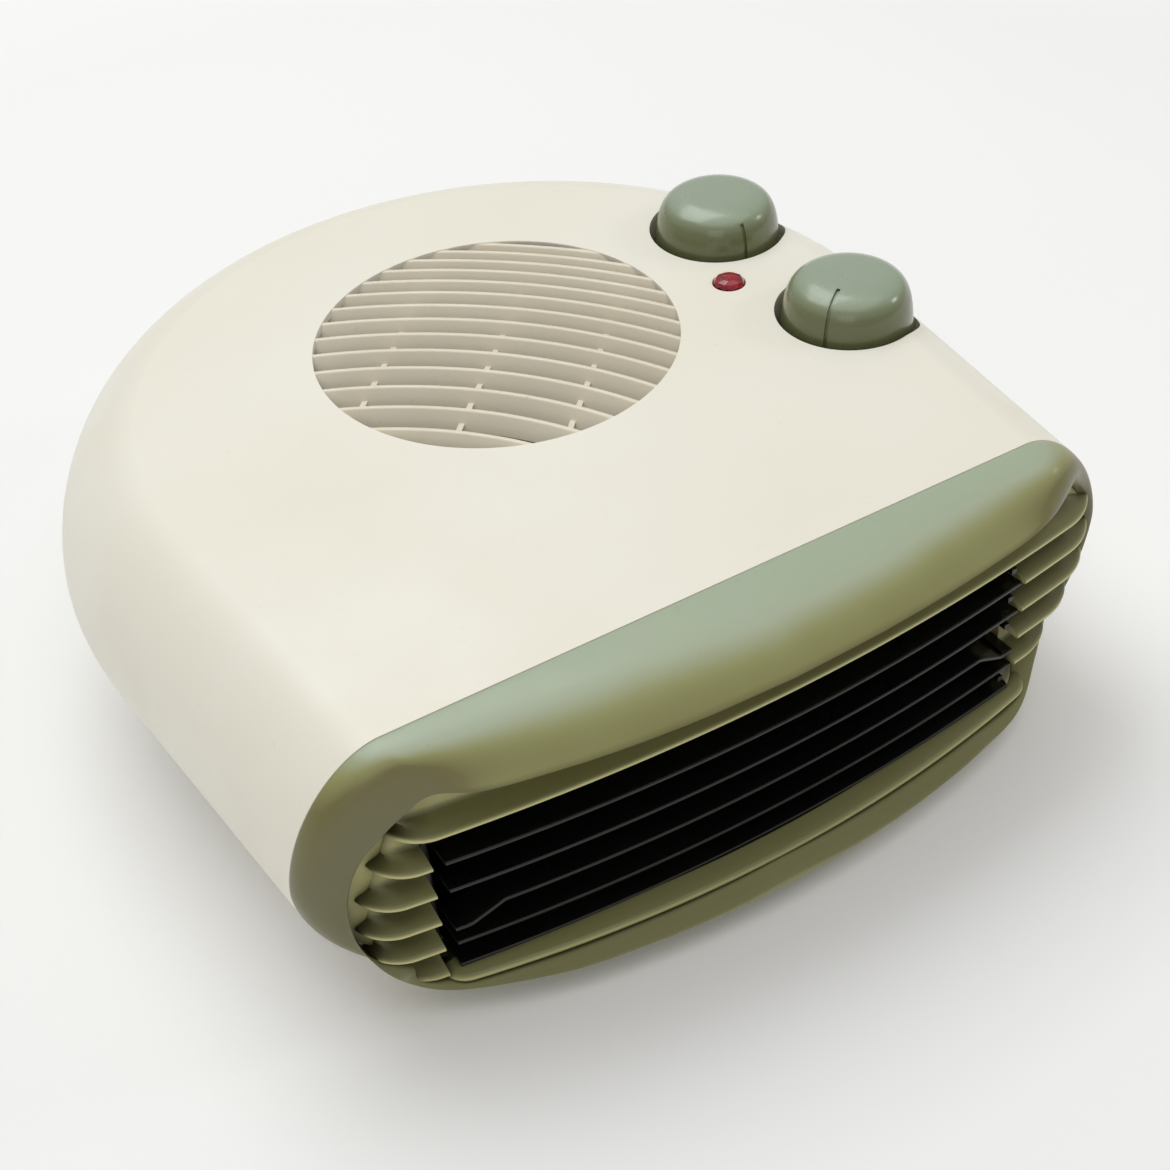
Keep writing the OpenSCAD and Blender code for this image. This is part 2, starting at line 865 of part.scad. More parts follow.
module coil_bobbin() {
    color(white_nylon)
    translate([intake_x, intake_y, 0]) {
        leg_sleeve(fit_gap, bobbin_wall, coil_len);
        for (s = [0, 1])
            mirror([s, 0, 0])
                translate([coil_len / 2 - bobbin_wall / 2, 0, 0])
                    leg_sleeve(fit_gap, bobbin_wall + 3, bobbin_wall);
    }
}

module motor_coil() {
    color(copper)
    translate([intake_x, intake_y, 0])
        leg_sleeve(2 * fit_gap + bobbin_wall, 2.4, coil_len - 2 * bobbin_wall - 2 * fit_gap);
}

// A strap over the rotor with two feet that stand on the core
module bracket(strap_z, foot_z_low, foot_z_high) {
    difference() {
        union() {
            translate([-core_w / 2, -7, strap_z])
                cube([core_w, 14, bracket_t]);
            for (s = [-1, 1])
                translate([s * motor_screw_x - 4, -7, foot_z_low])
                    cube([8, 14, foot_z_high - foot_z_low]);
        }
        cylinder(h = far, r = bush_r + run_gap);
        motor_screw_holes();
    }
}

module upper_bracket() {
    color(steel)
    translate([intake_x, intake_y, 0])
        bracket(upper_bracket_z, core_top_z, upper_bracket_z + eps);
}

module lower_bracket() {
    color(steel)
    translate([intake_x, intake_y, 0])
        bracket(lower_bracket_z, lower_bracket_z + bracket_t - eps, core_z);
}

module bearing_bushes() {
    color(brass)
    for (z = [lower_bracket_z - 1, upper_bracket_z - 1])
        translate([intake_x, intake_y, z])
            difference() {
                cylinder(h = bush_h, r = bush_r);
                translate([0, 0, -eps])
                    cylinder(h = far, r = shaft_r + run_gap);
            }
}

module motor_screws() {
    color(steel)
    for (s = [-1, 1])
        translate([intake_x + s * motor_screw_x, intake_y, lower_bracket_z])
            screw(floor_top_z - lower_bracket_z - 0.5, motor_screw_r, 3, 1.8);
}

module heater_tray() {
    back = tray_front_y + tray_d;
    color(steel)
    difference() {
        band(tray_front_y, back, tray_z, tray_z + tray_h, tray_half_w);
        band(tray_front_y - eps, back - sheet_t, tray_z + sheet_t, tray_z + tray_h - sheet_t,
            tray_half_w - sheet_t);
        band(tray_front_y, far, floor_top_z, tray_z + tray_h - 3, throat_half_w);
    }
}

// Heights and depths shared by the mica cards and the ribbons strung on them
card_y = tray_front_y + 7;
card_d = tray_d - 18;
card_low = tray_z + sheet_t + face_gap;
card_high = tray_z + tray_h - sheet_t - face_gap;
card_span = 2 * (tray_half_w - 12);
ribbon_amp = 3;
ribbon_t = 0.5;
ribbon_w = 3;
ribbon_turns = 24;

function card_x(i) = -card_span / 2 + card_span * i / (card_count - 1);
function ribbon_z(j) = card_low + (card_high - card_low) * (j + 0.5) / ribbon_rows;

module mica_frame() {
    color(mica)
    difference() {
        union() {
            for (i = [0:card_count - 1])
                translate([card_x(i) - mica_t / 2, card_y, card_low])
                    cube([mica_t, card_d, card_high - card_low]);
            for (y = [card_y + 2, card_y + card_d - 2 - mica_t])
                for (z = [card_low + 2, card_high - 6])
                    translate([-card_span / 2, y, z])
                        cube([card_span, mica_t, 4]);
        }
        for (j = [0:ribbon_rows - 1])
            translate([-far, card_y + 8, ribbon_z(j) - ribbon_amp - 1])
                cube([2 * far, ribbon_w + 2, 2 * ribbon_amp + 2]);
    }
}

// A zigzag strip that bends up and down between its two ends
function zigzag(side) = [
    for (k = [0:2 * ribbon_turns])
        [-card_span / 2 + card_span * k / (2 * ribbon_turns), (k % 2 == 0 ? -1 : 1) * ribbon_amp + side * ribbon_t]
];

module heating_ribbons() {
    strip = concat(zigzag(-1), [for (k = [2 * ribbon_turns:-1:0]) zigzag(1)[k]]);
    color(copper)
    for (j = [0:ribbon_rows - 1])
        translate([0, card_y + 9 + ribbon_w, ribbon_z(j)])
            rotate([90, 0, 0])
                linear_extrude(height = ribbon_w)
                    polygon(strip);
}

module thermal_cutout() {
    color(black)
    translate([card_x(1) + mica_t / 2 + face_gap, card_y + card_d - 14, card_high - 18]) {
        cube([6, 10, 14]);
        translate([6, 3, 4])
            cube([1.2, 4, 8]);
    }
}

module thermal_fuse() {
    color(steel)
    translate([card_x(3) + mica_t / 2 + face_gap + 2, card_y + card_d - 8, card_high - 20]) {
        cylinder(h = 10, r = 2);
        translate([0, 0, -4])
            cylinder(h = 18, r = 0.6);
    }
}

control_top_z = well_z - shell_wall;

// The threaded neck that holds a control in the floor of its well
module control_neck() {
    translate([0, 0, control_top_z - eps])
        cylinder(h = shell_wall + nut_h, r = neck_r);
}

// The bore that a spindle turns in, closed below
module spindle_bore(low_z) {
    translate([0, 0, low_z])
        cylinder(h = far, r = spindle_r + run_gap);
}

module thermostat_body() {
    color(white_nylon)
    translate([rear_knob_x, rear_knob_y, 0])
        difference() {
            union() {
                translate([-9, -13, control_top_z - 12])
                    cube([18, 26, 12]);
                control_neck();
            }
            spindle_bore(control_top_z - 10);
        }
}

module bimetal_blade() {
    color(brass)
    translate([rear_knob_x, rear_knob_y, control_top_z - 14.6]) {
        translate([-4, -13, 0])
            cube([8, 30, 1]);
        translate([-4, -13, 1 - eps])
            cube([8, 5, 1.6]);
        translate([0, 14, -1.5])
            cylinder(h = 2, r = 2);
    }
}

module selector_body() {
    color(white_nylon)
    translate([front_knob_x, front_knob_y, 0])
        difference() {
            union() {
                translate([-12, -12, control_top_z - 16])
                    cube([24, 24, 16]);
                control_neck();
            }
            spindle_bore(control_top_z - 12);
        }
}

module selector_contacts() {
    color(brass)
    for (s = [-1, 1], t = [-1, 1])
        translate([front_knob_x + s * 8 - 0.4, front_knob_y + t * 6 - 2.5, control_top_z - 16 - 7])
            cube([0.8, 5, 7]);
}

module spindle(low_z) {
    color(steel)
    translate([0, 0, low_z + 0.3])
        cylinder(h = spindle_top_z - low_z - 0.3, r = spindle_r);
}

module thermostat_spindle() {
    translate([rear_knob_x, rear_knob_y, 0])
        spindle(control_top_z - 10);
}

module selector_spindle() {
    translate([front_knob_x, front_knob_y, 0])
        spindle(control_top_z - 12);
}

module control_nut() {
    color(steel)
    translate([0, 0, well_z])
        difference() {
            cylinder(h = nut_h - 0.2, r = neck_r + 3, $fn = 6);
            translate([0, 0, -eps])
                cylinder(h = far, r = neck_r + fit_gap);
        }
}

module thermostat_nut() {
    translate([rear_knob_x, rear_knob_y, 0])
        control_nut();
}

module selector_nut() {
    translate([front_knob_x, front_knob_y, 0])
        control_nut();
}

// Half of a knob's outline, with a rounded shoulder and a slightly crowned top
module knob_half(inset) {
    shoulder_z = knob_top_z - knob_crown;
    edge_z = shoulder_z - knob_shoulder_r;
    crown_w = knob_r - knob_shoulder_r;
    crown_r = (crown_w * crown_w + knob_crown * knob_crown) / (2 * knob_crown);
    translate([0, knob_low_z])
        square([knob_r - inset, edge_z - knob_low_z]);
    translate([0, knob_low_z])
        square([crown_w, shoulder_z - inset - knob_low_z]);
    intersection() {
        translate([crown_w, edge_z])
            circle(r = knob_shoulder_r - inset);
        translate([0, knob_low_z])
            square([knob_r, far]);
    }
    intersection() {
        translate([0, knob_top_z - inset - crown_r])
            circle(r = crown_r);
        translate([0, shoulder_z - inset - eps])
            square([crown_w, far]);
    }
}

module knob() {
    color(sage)
    difference() {
        rotate_extrude()
            knob_half(0);
        difference() {
            translate([4, -groove_w / 2, knob_low_z - 1])
                cube([far, groove_w, far]);
            rotate_extrude()
                knob_half(groove_depth);
        }
        translate([0, 0, knob_low_z - eps])
            cylinder(h = knob_hollow_h, r = knob_hollow_r);
        translate([0, 0, knob_low_z - eps])
            cylinder(h = spindle_top_z + 0.2 - knob_low_z, r = spindle_r + run_gap / 2);
    }
}

module thermostat_knob() {
    translate([rear_knob_x, rear_knob_y, 0])
        rotate([0, 0, rear_pointer_deg])
            knob();
}

module selector_knob() {
    translate([front_knob_x, front_knob_y, 0])
        rotate([0, 0, front_pointer_deg])
            knob();
}

// A clear jewel cut with eight sides above a round stem
module indicator_lens() {
    color([0.75, 0.06, 0.10, 0.8])
    translate([lamp_x, lamp_y, 0]) {
        translate([0, 0, inner_top_z - 6])
            difference() {
                cylinder(h = body_top - inner_top_z + 6, r = lamp_r);
                translate([0, 0, -eps])
                    cylinder(h = 5, r = lamp_r - 1);
            }
        translate([0, 0, body_top - eps])
            difference() {
                sphere(r = lamp_r);
                translate([-far / 2, -far / 2, lamp_rise])
                    cube([far, far, far]);
                translate([-far / 2, -far / 2, -far])
                    cube([far, far, far]);
            }
    }
}

module neon_lamp() {
    color([0.9, 0.5, 0.3])
    translate([lamp_x, lamp_y, inner_top_z - 18]) {
        cylinder(h = 14, r = 2.6);
        translate([0, 0, 14 - eps])
            sphere(r = 2.6);
        for (s = [-1, 1])
            translate([s * 1.2, 0, -6])
                cylinder(h = 6 + eps, r = 0.4);
    }
}

module terminal_block() {
    color(white_nylon)
    translate([terminal_x, terminal_y, inner_floor_z])
        difference() {
            translate([-6, -17, 0])
                cube([12, 34, 12]);
            for (i = [-1, 0, 1])
                translate([0, i * 11, 0]) {
                    translate([0, 0, 4])
                        cylinder(h = far, r = 2);
                    translate([-far / 2, 0, 5])
                        rotate([0, 90, 0])
                            cylinder(h = far, r = 1.8);
                }
        }
}

module cord_gland() {
    color(black)
    translate([inlet_x, inlet_seat_y, inlet_z])
        rotate([-90, 0, 0])
            difference() {
                union() {
                    cylinder(h = inlet_flange_t, r = inlet_flange_r);
                    translate([0, 0, -inlet_in])
                        cylinder(h = inlet_in + inlet_flange_t + inlet_out, r = inlet_barrel_r);
                }
                translate([0, 0, -inlet_in - eps])
                    cylinder(h = far, r = inlet_r);
            }
}

module cord_clamp() {
    color(white_nylon)
    difference() {
        translate([inlet_x - clamp_half_w - 4, clamp_y - 4, clamp_z])
            cube([2 * clamp_half_w + 8, 8, 2.6]);
        for (s = [-1, 1])
            translate([inlet_x + s * clamp_half_w, clamp_y, 0])
                cylinder(h = far, r = 1.2 + fit_gap);
    }
}

module clamp_screws() {
    color(steel)
    for (s = [-1, 1])
        translate([inlet_x + s * clamp_half_w, clamp_y, clamp_z + 2.6])
            rotate([180, 0, 0])
                screw(9, 1.2, 2.6, 1.6);
}

// A wire of straight runs, with a round bend slightly fuller than the wire
module wire(points, r) {
    bend_r = 1.4 * r;
    for (i = [0:len(points) - 2])
        rod(points[i], points[i + 1], r);
    for (i = [1:len(points) - 2])
        translate(points[i])
            rotate([40, 25, 0])
                sphere(r = bend_r, $fn = 24);
}

module inner_wires() {
    tx = terminal_x;
    ty = terminal_y;
    color([0.2, 0.3, 0.7]) {
        wire([
            [tx + 6.4, ty - 11, inner_floor_z + 5], [tx + 14, ty - 14, inner_floor_z + 8],
            [front_knob_x - 8, front_knob_y + 11, 34], [front_knob_x - 8, front_knob_y + 11, control_top_z - 16.4]
        ], 1);
        wire([
            [tx + 6.4, ty, inner_floor_z + 5], [tx + 14, ty, inner_floor_z + 9],
            [rear_knob_x - 6, rear_knob_y - 10, housing_z], [rear_knob_x - 6, rear_knob_y - 10, control_top_z - 12.4]
        ], 1);
    }
}

top_shell();
base_shell();
front_bezel();
outlet_grille();
outlet_guard();
intake_grille();
rubber_feet();
case_screws();
fan_housing();
inlet_plate();
housing_screws();
fan_wheel();
wheel_nut();
motor_shaft();
rotor();
stator_core();
coil_bobbin();
motor_coil();
upper_bracket();
lower_bracket();
bearing_bushes();
motor_screws();
heater_tray();
mica_frame();
heating_ribbons();
thermal_cutout();
thermal_fuse();
thermostat_body();
bimetal_blade();
thermostat_spindle();
thermostat_knob();
thermostat_nut();
selector_body();
selector_contacts();
selector_spindle();
selector_knob();
selector_nut();
indicator_lens();
neon_lamp();
terminal_block();
cord_gland();
cord_clamp();
clamp_screws();
inner_wires();
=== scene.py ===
import math
import bpy
import bmesh
import numpy as np
from mathutils import Euler, Matrix, Vector
from mathutils.bvhtree import BVHTree


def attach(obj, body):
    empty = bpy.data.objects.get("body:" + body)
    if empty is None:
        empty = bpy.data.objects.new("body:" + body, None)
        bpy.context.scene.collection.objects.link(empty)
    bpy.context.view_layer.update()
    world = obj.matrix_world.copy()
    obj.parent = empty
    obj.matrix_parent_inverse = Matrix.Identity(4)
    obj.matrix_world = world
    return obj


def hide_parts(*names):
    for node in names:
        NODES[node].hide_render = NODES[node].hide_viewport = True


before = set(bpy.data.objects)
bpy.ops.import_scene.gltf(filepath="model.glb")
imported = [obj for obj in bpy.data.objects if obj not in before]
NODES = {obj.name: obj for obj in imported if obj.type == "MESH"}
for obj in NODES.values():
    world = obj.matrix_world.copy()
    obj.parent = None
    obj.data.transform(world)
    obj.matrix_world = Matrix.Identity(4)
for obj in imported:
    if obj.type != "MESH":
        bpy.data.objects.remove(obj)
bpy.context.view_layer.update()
MM = 0.001
QUARTER = math.pi / 2

# Camera, as fitted to the outlines in the photo: metres, degrees and millimetres of lens
CAMERA_PLACE = (-0.18437, -0.369943, 0.371537)
CAMERA_ANGLES = (48.6576, 2.9944, -31.1638)
FOCAL_LENGTH, SENSOR_WIDTH = 55.8607, 36.0


def add_camera():
    data = bpy.data.cameras.new("photo_camera")
    data.sensor_width = SENSOR_WIDTH
    data.lens = FOCAL_LENGTH
    data.clip_start = 0.01
    camera = bpy.data.objects.new("photo_camera", data)
    turn = Euler([math.radians(a) for a in CAMERA_ANGLES]).to_matrix()
    camera.matrix_world = Matrix.Translation(CAMERA_PLACE) @ turn.to_4x4()
    bpy.context.scene.collection.objects.link(camera)
    bpy.context.scene.camera = camera


add_camera()
bpy.context.scene.view_settings.view_transform = "Standard"

# Texture scales that all plastics share, and how high their waves and grain stand in metres
BLOTCH_SCALE, MARK_SCALE, PORE_SCALE = 14, 55, 420
WAVE_SCALE, WAVE_HEIGHT = 9, 0.002
GRAIN_SCALE, GRAIN_HEIGHT = 1400, 0.00012
SLOPE_WANDER = 0.04


def linear(r, g, b):
    """A colour written as 0-255 sRGB, as linear values."""
    out = []
    for c in (r, g, b):
        c /= 255
        out.append(c / 12.92 if c <= 0.04045 else ((c + 0.055) / 1.055) ** 2.4)
    return (*out, 1.0)


class Nodes:
    """A small helper that builds one node material."""

    def __init__(self, name):
        self.mat = bpy.data.materials.new(name)
        self.mat.use_nodes = True
        self.tree = self.mat.node_tree
        self.tree.nodes.clear()
        self.out = self.add("ShaderNodeOutputMaterial")
        self.coord = self.add("ShaderNodeTexCoord")

    def add(self, kind, **values):
        node = self.tree.nodes.new(kind)
        for key, value in values.items():
            setattr(node, key, value)
        return node

    def link(self, a, b):
        self.tree.links.new(a, b)

    def noise(self, scale, detail=3.0, rough=0.5, stretch=None):
        node = self.add("ShaderNodeTexNoise")
        node.inputs["Scale"].default_value = scale
        node.inputs["Detail"].default_value = detail
        node.inputs["Roughness"].default_value = rough
        place = self.coord.outputs["Object"]
        if stretch:
            mapping = self.add("ShaderNodeMapping")
            mapping.inputs["Scale"].default_value = stretch
            self.link(place, mapping.inputs["Vector"])
            place = mapping.outputs["Vector"]
        self.link(place, node.inputs["Vector"])
        return node.outputs["Fac"]

    def ramp(self, source, stops):
        node = self.add("ShaderNodeValToRGB")
        elements = node.color_ramp.elements
        while len(elements) < len(stops):
            elements.new(0.5)
        for element, (position, colour) in zip(elements, stops):
            element.position = position
            element.color = colour
        self.link(source, node.inputs["Fac"])
        return node.outputs["Color"]

    def spread(self, source, low, high, from_low=0.3, from_high=0.7):
        """Maps one range of values to another."""
        node = self.add("ShaderNodeMapRange")
        node.inputs["From Min"].default_value = from_low
        node.inputs["From Max"].default_value = from_high
        node.inputs["To Min"].default_value = low
        node.inputs["To Max"].default_value = high
        self.link(source, node.inputs["Value"])
        return node.outputs["Result"]

    def put(self, value, socket):
        """Links a socket, or sets it where the value is a constant."""
        if hasattr(value, "links"):
            self.link(value, socket)
        else:
            socket.default_value = value

    def mix(self, fac, a, b):
        """Mixes two colours. Sockets 6 and 7 are a colour mix's A and B, and output 2 its result."""
        node = self.add("ShaderNodeMix", data_type="RGBA")
        self.put(fac, node.inputs["Factor"])
        self.put(a, node.inputs[6])
        self.put(b, node.inputs[7])
        return node.outputs[2]

    def bump(self, height, strength, distance, under=None):
        node = self.add("ShaderNodeBump")
        node.inputs["Strength"].default_value = strength
        node.inputs["Distance"].default_value = distance
        self.link(height, node.inputs["Height"])
        if under:
            self.link(under, node.inputs["Normal"])
        return node.outputs["Normal"]

    def painted_slope_light(self, wander, stops):
        """Painted light and shade: colours against how far a face looks up, lighter or darker as if lit by
        where it turns, with limits that wander a little.
        """
        geometry = self.add("ShaderNodeNewGeometry")
        split = self.add("ShaderNodeSeparateXYZ")
        self.link(geometry.outputs["Normal"], split.inputs["Vector"])
        total = self.add("ShaderNodeMath", operation="ADD")
        self.link(split.outputs["Z"], total.inputs[0])
        self.link(self.spread(wander, -SLOPE_WANDER, SLOPE_WANDER), total.inputs[1])
        return self.ramp(total.outputs["Value"], stops)

    def painted_low_light(self, base, colour, all_below, none_above):
        """Painted light: another colour near the ground, between two heights in metres."""
        place = self.add("ShaderNodeSeparateXYZ")
        self.link(self.coord.outputs["Object"], place.inputs["Vector"])
        return self.mix(self.spread(place.outputs["Z"], 0.0, 1.0, all_below, none_above), colour, base)

    def painted_corner_shade(self, base, colour, distance, closed, open_to):
        """Painted shade: a darker colour where other faces stand close, standing in for the shade that falls
        in recesses.
        """
        near = self.add("ShaderNodeAmbientOcclusion")
        near.samples = 8
        near.inputs["Distance"].default_value = distance
        return self.mix(self.spread(near.outputs["AO"], 0.0, 1.0, closed, open_to), colour, base)

    def shader(self, **values):
        node = self.add("ShaderNodeBsdfPrincipled")
        for key, value in values.items():
            self.put(value, node.inputs[key.replace("_", " ")])
        self.link(node.outputs["BSDF"], self.out.inputs["Surface"])


def plastic(name, light, dark, rough, grain=0.05, peel=0.05, coat=0.0, dust=None,
            painted_light_by_slope=None, low=None, painted_hollow_shade=None):
    """Moulded plastic: soft blotches, a fine grain, a faint waviness from the mould and handling marks, with
    painted light by slope, painted light near the ground and painted shade in hollows where asked.
    """
    n = Nodes(name)
    blotch = n.noise(BLOTCH_SCALE, 5, 0.55)
    # Painted light and shade: the colour follows how far each face looks up
    if painted_light_by_slope:
        base = n.painted_slope_light(blotch, painted_light_by_slope)
    else:
        base = n.ramp(blotch, [(0.35, light), (0.65, dark)])
    # Painted light: a lighter colour near the ground
    if low:
        base = n.painted_low_light(base, *low)
    # Painted shade: darker where other faces stand close
    if painted_hollow_shade:
        base = n.painted_corner_shade(base, *painted_hollow_shade)
    if dust:
        colour, amount = dust
        pores = n.noise(PORE_SCALE, 6, 0.7)
        base = n.mix(n.spread(pores, 0.0, amount, 0.62, 0.8), base, colour)
    marks = n.noise(MARK_SCALE, 6, 0.65)
    roughness = n.spread(marks, rough * 0.8, rough * 1.25)
    waves = n.bump(n.noise(WAVE_SCALE, 2, 0.4), peel, WAVE_HEIGHT)
    normal = n.bump(n.noise(GRAIN_SCALE, 3, 0.6), grain, GRAIN_HEIGHT, waves)
    n.shader(Base_Color=base, Roughness=roughness, Normal=normal, Coat_Weight=coat,
             Coat_Roughness=0.12, IOR=1.5)
    return n.mat


def metal(name, light, dark, rough, stretch=(30, 400, 400)):
    """Sheet or turned metal with a drawn grain and dull spots."""
    n = Nodes(name)
    grain = n.noise(3, 6, 0.65, stretch)
    base = n.ramp(n.noise(40, 5, 0.6), [(0.3, light), (0.7, dark)])
    base = n.mix(n.spread(grain, 0.0, 0.35), base, dark)
    n.shader(Base_Color=base, Roughness=n.spread(grain, rough * 0.7, rough * 1.3), Metallic=1.0,
             Normal=n.bump(grain, 0.12, 0.0002))
    return n.mat


def clear_colour(name, colour, deep, rough):
    """Tinted clear plastic or glass."""
    n = Nodes(name)
    base = n.ramp(n.noise(300, 4, 0.6), [(0.35, colour), (0.68, deep)])
    n.shader(Base_Color=base, Roughness=n.spread(n.noise(600, 3), rough, rough * 2),
             Transmission_Weight=0.35, IOR=1.49, Coat_Weight=0.6, Coat_Roughness=0.04,
             Normal=n.bump(n.noise(500, 2), 0.05, 0.0001))
    return n.mat


# The plastics that show
# SHADE is the dark colour of the painted shade in hollows
OLIVE, SHADE = linear(118, 116, 74), linear(36, 36, 10)
cream = plastic("cream_moulded", linear(236, 233, 221), linear(233, 229, 214), 0.42, grain=0.03,
                peel=0.03, coat=0.06, dust=(linear(196, 184, 158), 0.25))
cream_blade = plastic("cream_blades", linear(226, 218, 198), linear(219, 210, 188), 0.42,
                      peel=0.03, dust=(linear(150, 134, 104), 0.4))
# Sage bezel: painted light and shade by slope, pale blue-green on faces that look up and darker olive on the
# sides; painted light near the ground and painted shade in hollows
sage = plastic(
    "sage_moulded", OLIVE, OLIVE, 0.38, grain=0.04, coat=0.10, dust=(linear(70, 68, 40), 0.25),
    painted_light_by_slope=[(0.0, linear(106, 102, 66)), (0.35, linear(110, 106, 65)), (0.62, linear(112, 107, 62)),
              (0.82, linear(143, 144, 92)), (0.95, linear(163, 172, 146)), (1.0, linear(162, 174, 150))],
    low=(linear(146, 145, 104), 0.012, 0.022), painted_hollow_shade=(SHADE, 0.004, 0.15, 0.7))
# Sage ribs: painted light by slope, light on the upright lip fronts and darker on faces that look up;
# painted shade in the hollows under each lip
sage_rib = plastic(
    "sage_ribs", OLIVE, OLIVE, 0.42, grain=0.04, coat=0.08, dust=(linear(60, 58, 30), 0.3),
    painted_light_by_slope=[(0.0, linear(198, 194, 134)), (0.45, linear(184, 180, 124)), (0.75, linear(140, 138, 92)),
              (0.95, linear(126, 124, 80)), (1.0, linear(124, 122, 78))],
    painted_hollow_shade=(SHADE, 0.010, 0.3, 0.84))
# Sage knobs: painted light and shade by slope, pale blue-green on the dome's top and dark olive on its sides
sage_knob = plastic(
    "sage_knob", OLIVE, OLIVE, 0.26, grain=0.02, peel=0.04, coat=0.35, dust=(linear(60, 62, 40), 0.25),
    painted_light_by_slope=[(0.0, linear(96, 99, 62)), (0.4, linear(104, 110, 74)), (0.66, linear(124, 134, 104)),
              (0.86, linear(143, 157, 134)), (1.0, linear(150, 163, 143))])
black = plastic("black_slats", linear(13, 12, 11), linear(7, 7, 7), 0.3, grain=0.04, coat=0.15,
                dust=(linear(60, 56, 46), 0.25))
red = clear_colour("red_jewel", linear(196, 22, 44), linear(120, 6, 22), 0.06)

# What is inside and underneath
dark = plastic("black_inner", linear(17, 17, 17), linear(10, 10, 10), 0.6, grain=0.1,
               dust=(linear(60, 56, 50), 0.3))
rubber = plastic("foot_rubber", linear(32, 31, 30), linear(24, 23, 22), 0.75, grain=0.3,
                 dust=(linear(110, 102, 88), 0.4))
nylon = plastic("natural_nylon", linear(214, 210, 198), linear(204, 199, 186), 0.5, grain=0.08,
                peel=0.04, dust=(linear(150, 140, 118), 0.3))
mica = plastic("pressed_mica", linear(66, 58, 42), linear(44, 38, 28), 0.45, grain=0.2,
               dust=(linear(120, 108, 80), 0.5))
wire_cover = plastic("wire_cover", linear(38, 50, 110), linear(30, 42, 98), 0.4, peel=0.03)
steel = metal("plated_steel", linear(188, 188, 190), linear(150, 150, 152), 0.34)
sheet = metal("dull_sheet", linear(62, 60, 58), linear(36, 34, 32), 0.5)
laminated = metal("laminated_core", linear(96, 94, 92), linear(66, 64, 62), 0.5, (8, 8, 1600))
brass = metal("turned_brass", linear(196, 160, 92), linear(160, 126, 68), 0.32)
copper = metal("enamelled_copper", linear(176, 98, 52), linear(140, 72, 38), 0.3, (900, 40, 900))
alloy = metal("heating_strip", linear(92, 78, 66), linear(54, 46, 40), 0.5)
lamp_glass = clear_colour("lamp_glass", linear(230, 150, 110), linear(190, 110, 80), 0.08)

NODE_MATERIALS = [
    (cream, ["top_shell", "base_shell"]),
    (cream_blade, ["intake_grille"]),
    (sage, ["front_bezel"]),
    (sage_rib, ["outlet_grille"]),
    (sage_knob, ["thermostat_knob", "selector_knob"]),
    (black, ["outlet_guard"]),
    (red, ["indicator_lens"]),
    (dark, ["fan_housing", "inlet_plate", "fan_wheel", "thermal_cutout"]),
    (rubber, ["rubber_feet", "cord_gland"]),
    (nylon, ["coil_bobbin", "thermostat_body", "selector_body", "terminal_block", "cord_clamp"]),
    (mica, ["mica_frame"]),
    (wire_cover, ["inner_wires"]),
    (steel, ["case_screws", "housing_screws", "motor_screws", "clamp_screws", "motor_shaft",
             "upper_bracket", "lower_bracket", "thermostat_spindle", "thermostat_nut",
             "selector_spindle", "selector_nut"]),
    (sheet, ["heater_tray", "thermal_fuse"]),
    (laminated, ["rotor", "stator_core"]),
    (brass, ["wheel_nut", "bearing_bushes", "bimetal_blade", "selector_contacts"]),
    (copper, ["motor_coil"]),
    (alloy, ["heating_ribbons"]),
    (lamp_glass, ["neon_lamp"]),
]
for material, names in NODE_MATERIALS:
    for name in names:
        NODES[name].data.materials.clear()
        NODES[name].data.materials.append(material)


# Mesh helpers, all in millimetres
def build(name, verts, faces):
    mesh = bpy.data.meshes.new(name)
    mesh.from_pydata([tuple(float(c) for c in v) for v in verts], [], [tuple(f) for f in faces])
    obj = bpy.data.objects.new(name, mesh)
    bpy.context.scene.collection.objects.link(obj)
    return obj


def edit(obj, work):
    """Runs work on the object's mesh, opened for editing."""
    bm = bmesh.new()
    bm.from_mesh(obj.data)
    work(bm)
    bm.to_mesh(obj.data)
    bm.free()


def outward(obj):
    edit(obj, lambda bm: bmesh.ops.recalc_face_normals(bm, faces=bm.faces))
    return obj


def bake(obj):
    """Applies every modifier."""
    view = bpy.context.evaluated_depsgraph_get()
    view.update()
    mesh = bpy.data.meshes.new_from_object(obj.evaluated_get(view))
    old = obj.data
    obj.modifiers.clear()
    obj.data = mesh
    bpy.data.meshes.remove(old)


def drop(obj):
    mesh = obj.data
    bpy.data.objects.remove(obj)
    bpy.data.meshes.remove(mesh)


def cut(obj, other, how="DIFFERENCE"):
    """Takes other away from obj, or keeps only what they share, and removes other."""
    modifier = obj.modifiers.new("cut", "BOOLEAN")
    modifier.operation = how
    modifier.solver = "EXACT"
    modifier.object = other
    bake(obj)
    drop(other)


def join(obj, *others):
    """Adds the others' meshes to obj's."""
    bm = bmesh.new()
    bm.from_mesh(obj.data)
    for other in others:
        bm.from_mesh(other.data)
    bm.to_mesh(obj.data)
    bm.free()
    for other in others:
        drop(other)


def round_edges(bm, edges, width, steps):
    bmesh.ops.bevel(bm, geom=edges, offset=width, segments=steps, profile=0.5, affect="EDGES",
                    clamp_overlap=True)


def sharp_edges(bm, on_rim, least_angle):
    """The edges whose two faces meet at more than an angle, and whose ends on_rim picks."""
    return [e for e in bm.edges if len(e.link_faces) == 2 and e.calc_face_angle(0) > least_angle
            and all(on_rim(v.co) for v in e.verts)]


def soften(obj, on_rim, width, steps=3):
    """Rounds the sharp edges that on_rim picks."""
    def work(bm):
        bmesh.ops.remove_doubles(bm, verts=bm.verts, dist=0.02)
        edges = sharp_edges(bm, on_rim, 0.6)
        if edges:
            round_edges(bm, edges, width, steps)
    edit(obj, work)


def smooth(obj, angle):
    obj.data.shade_smooth()
    obj.data.set_sharp_from_angle(angle=math.radians(angle))


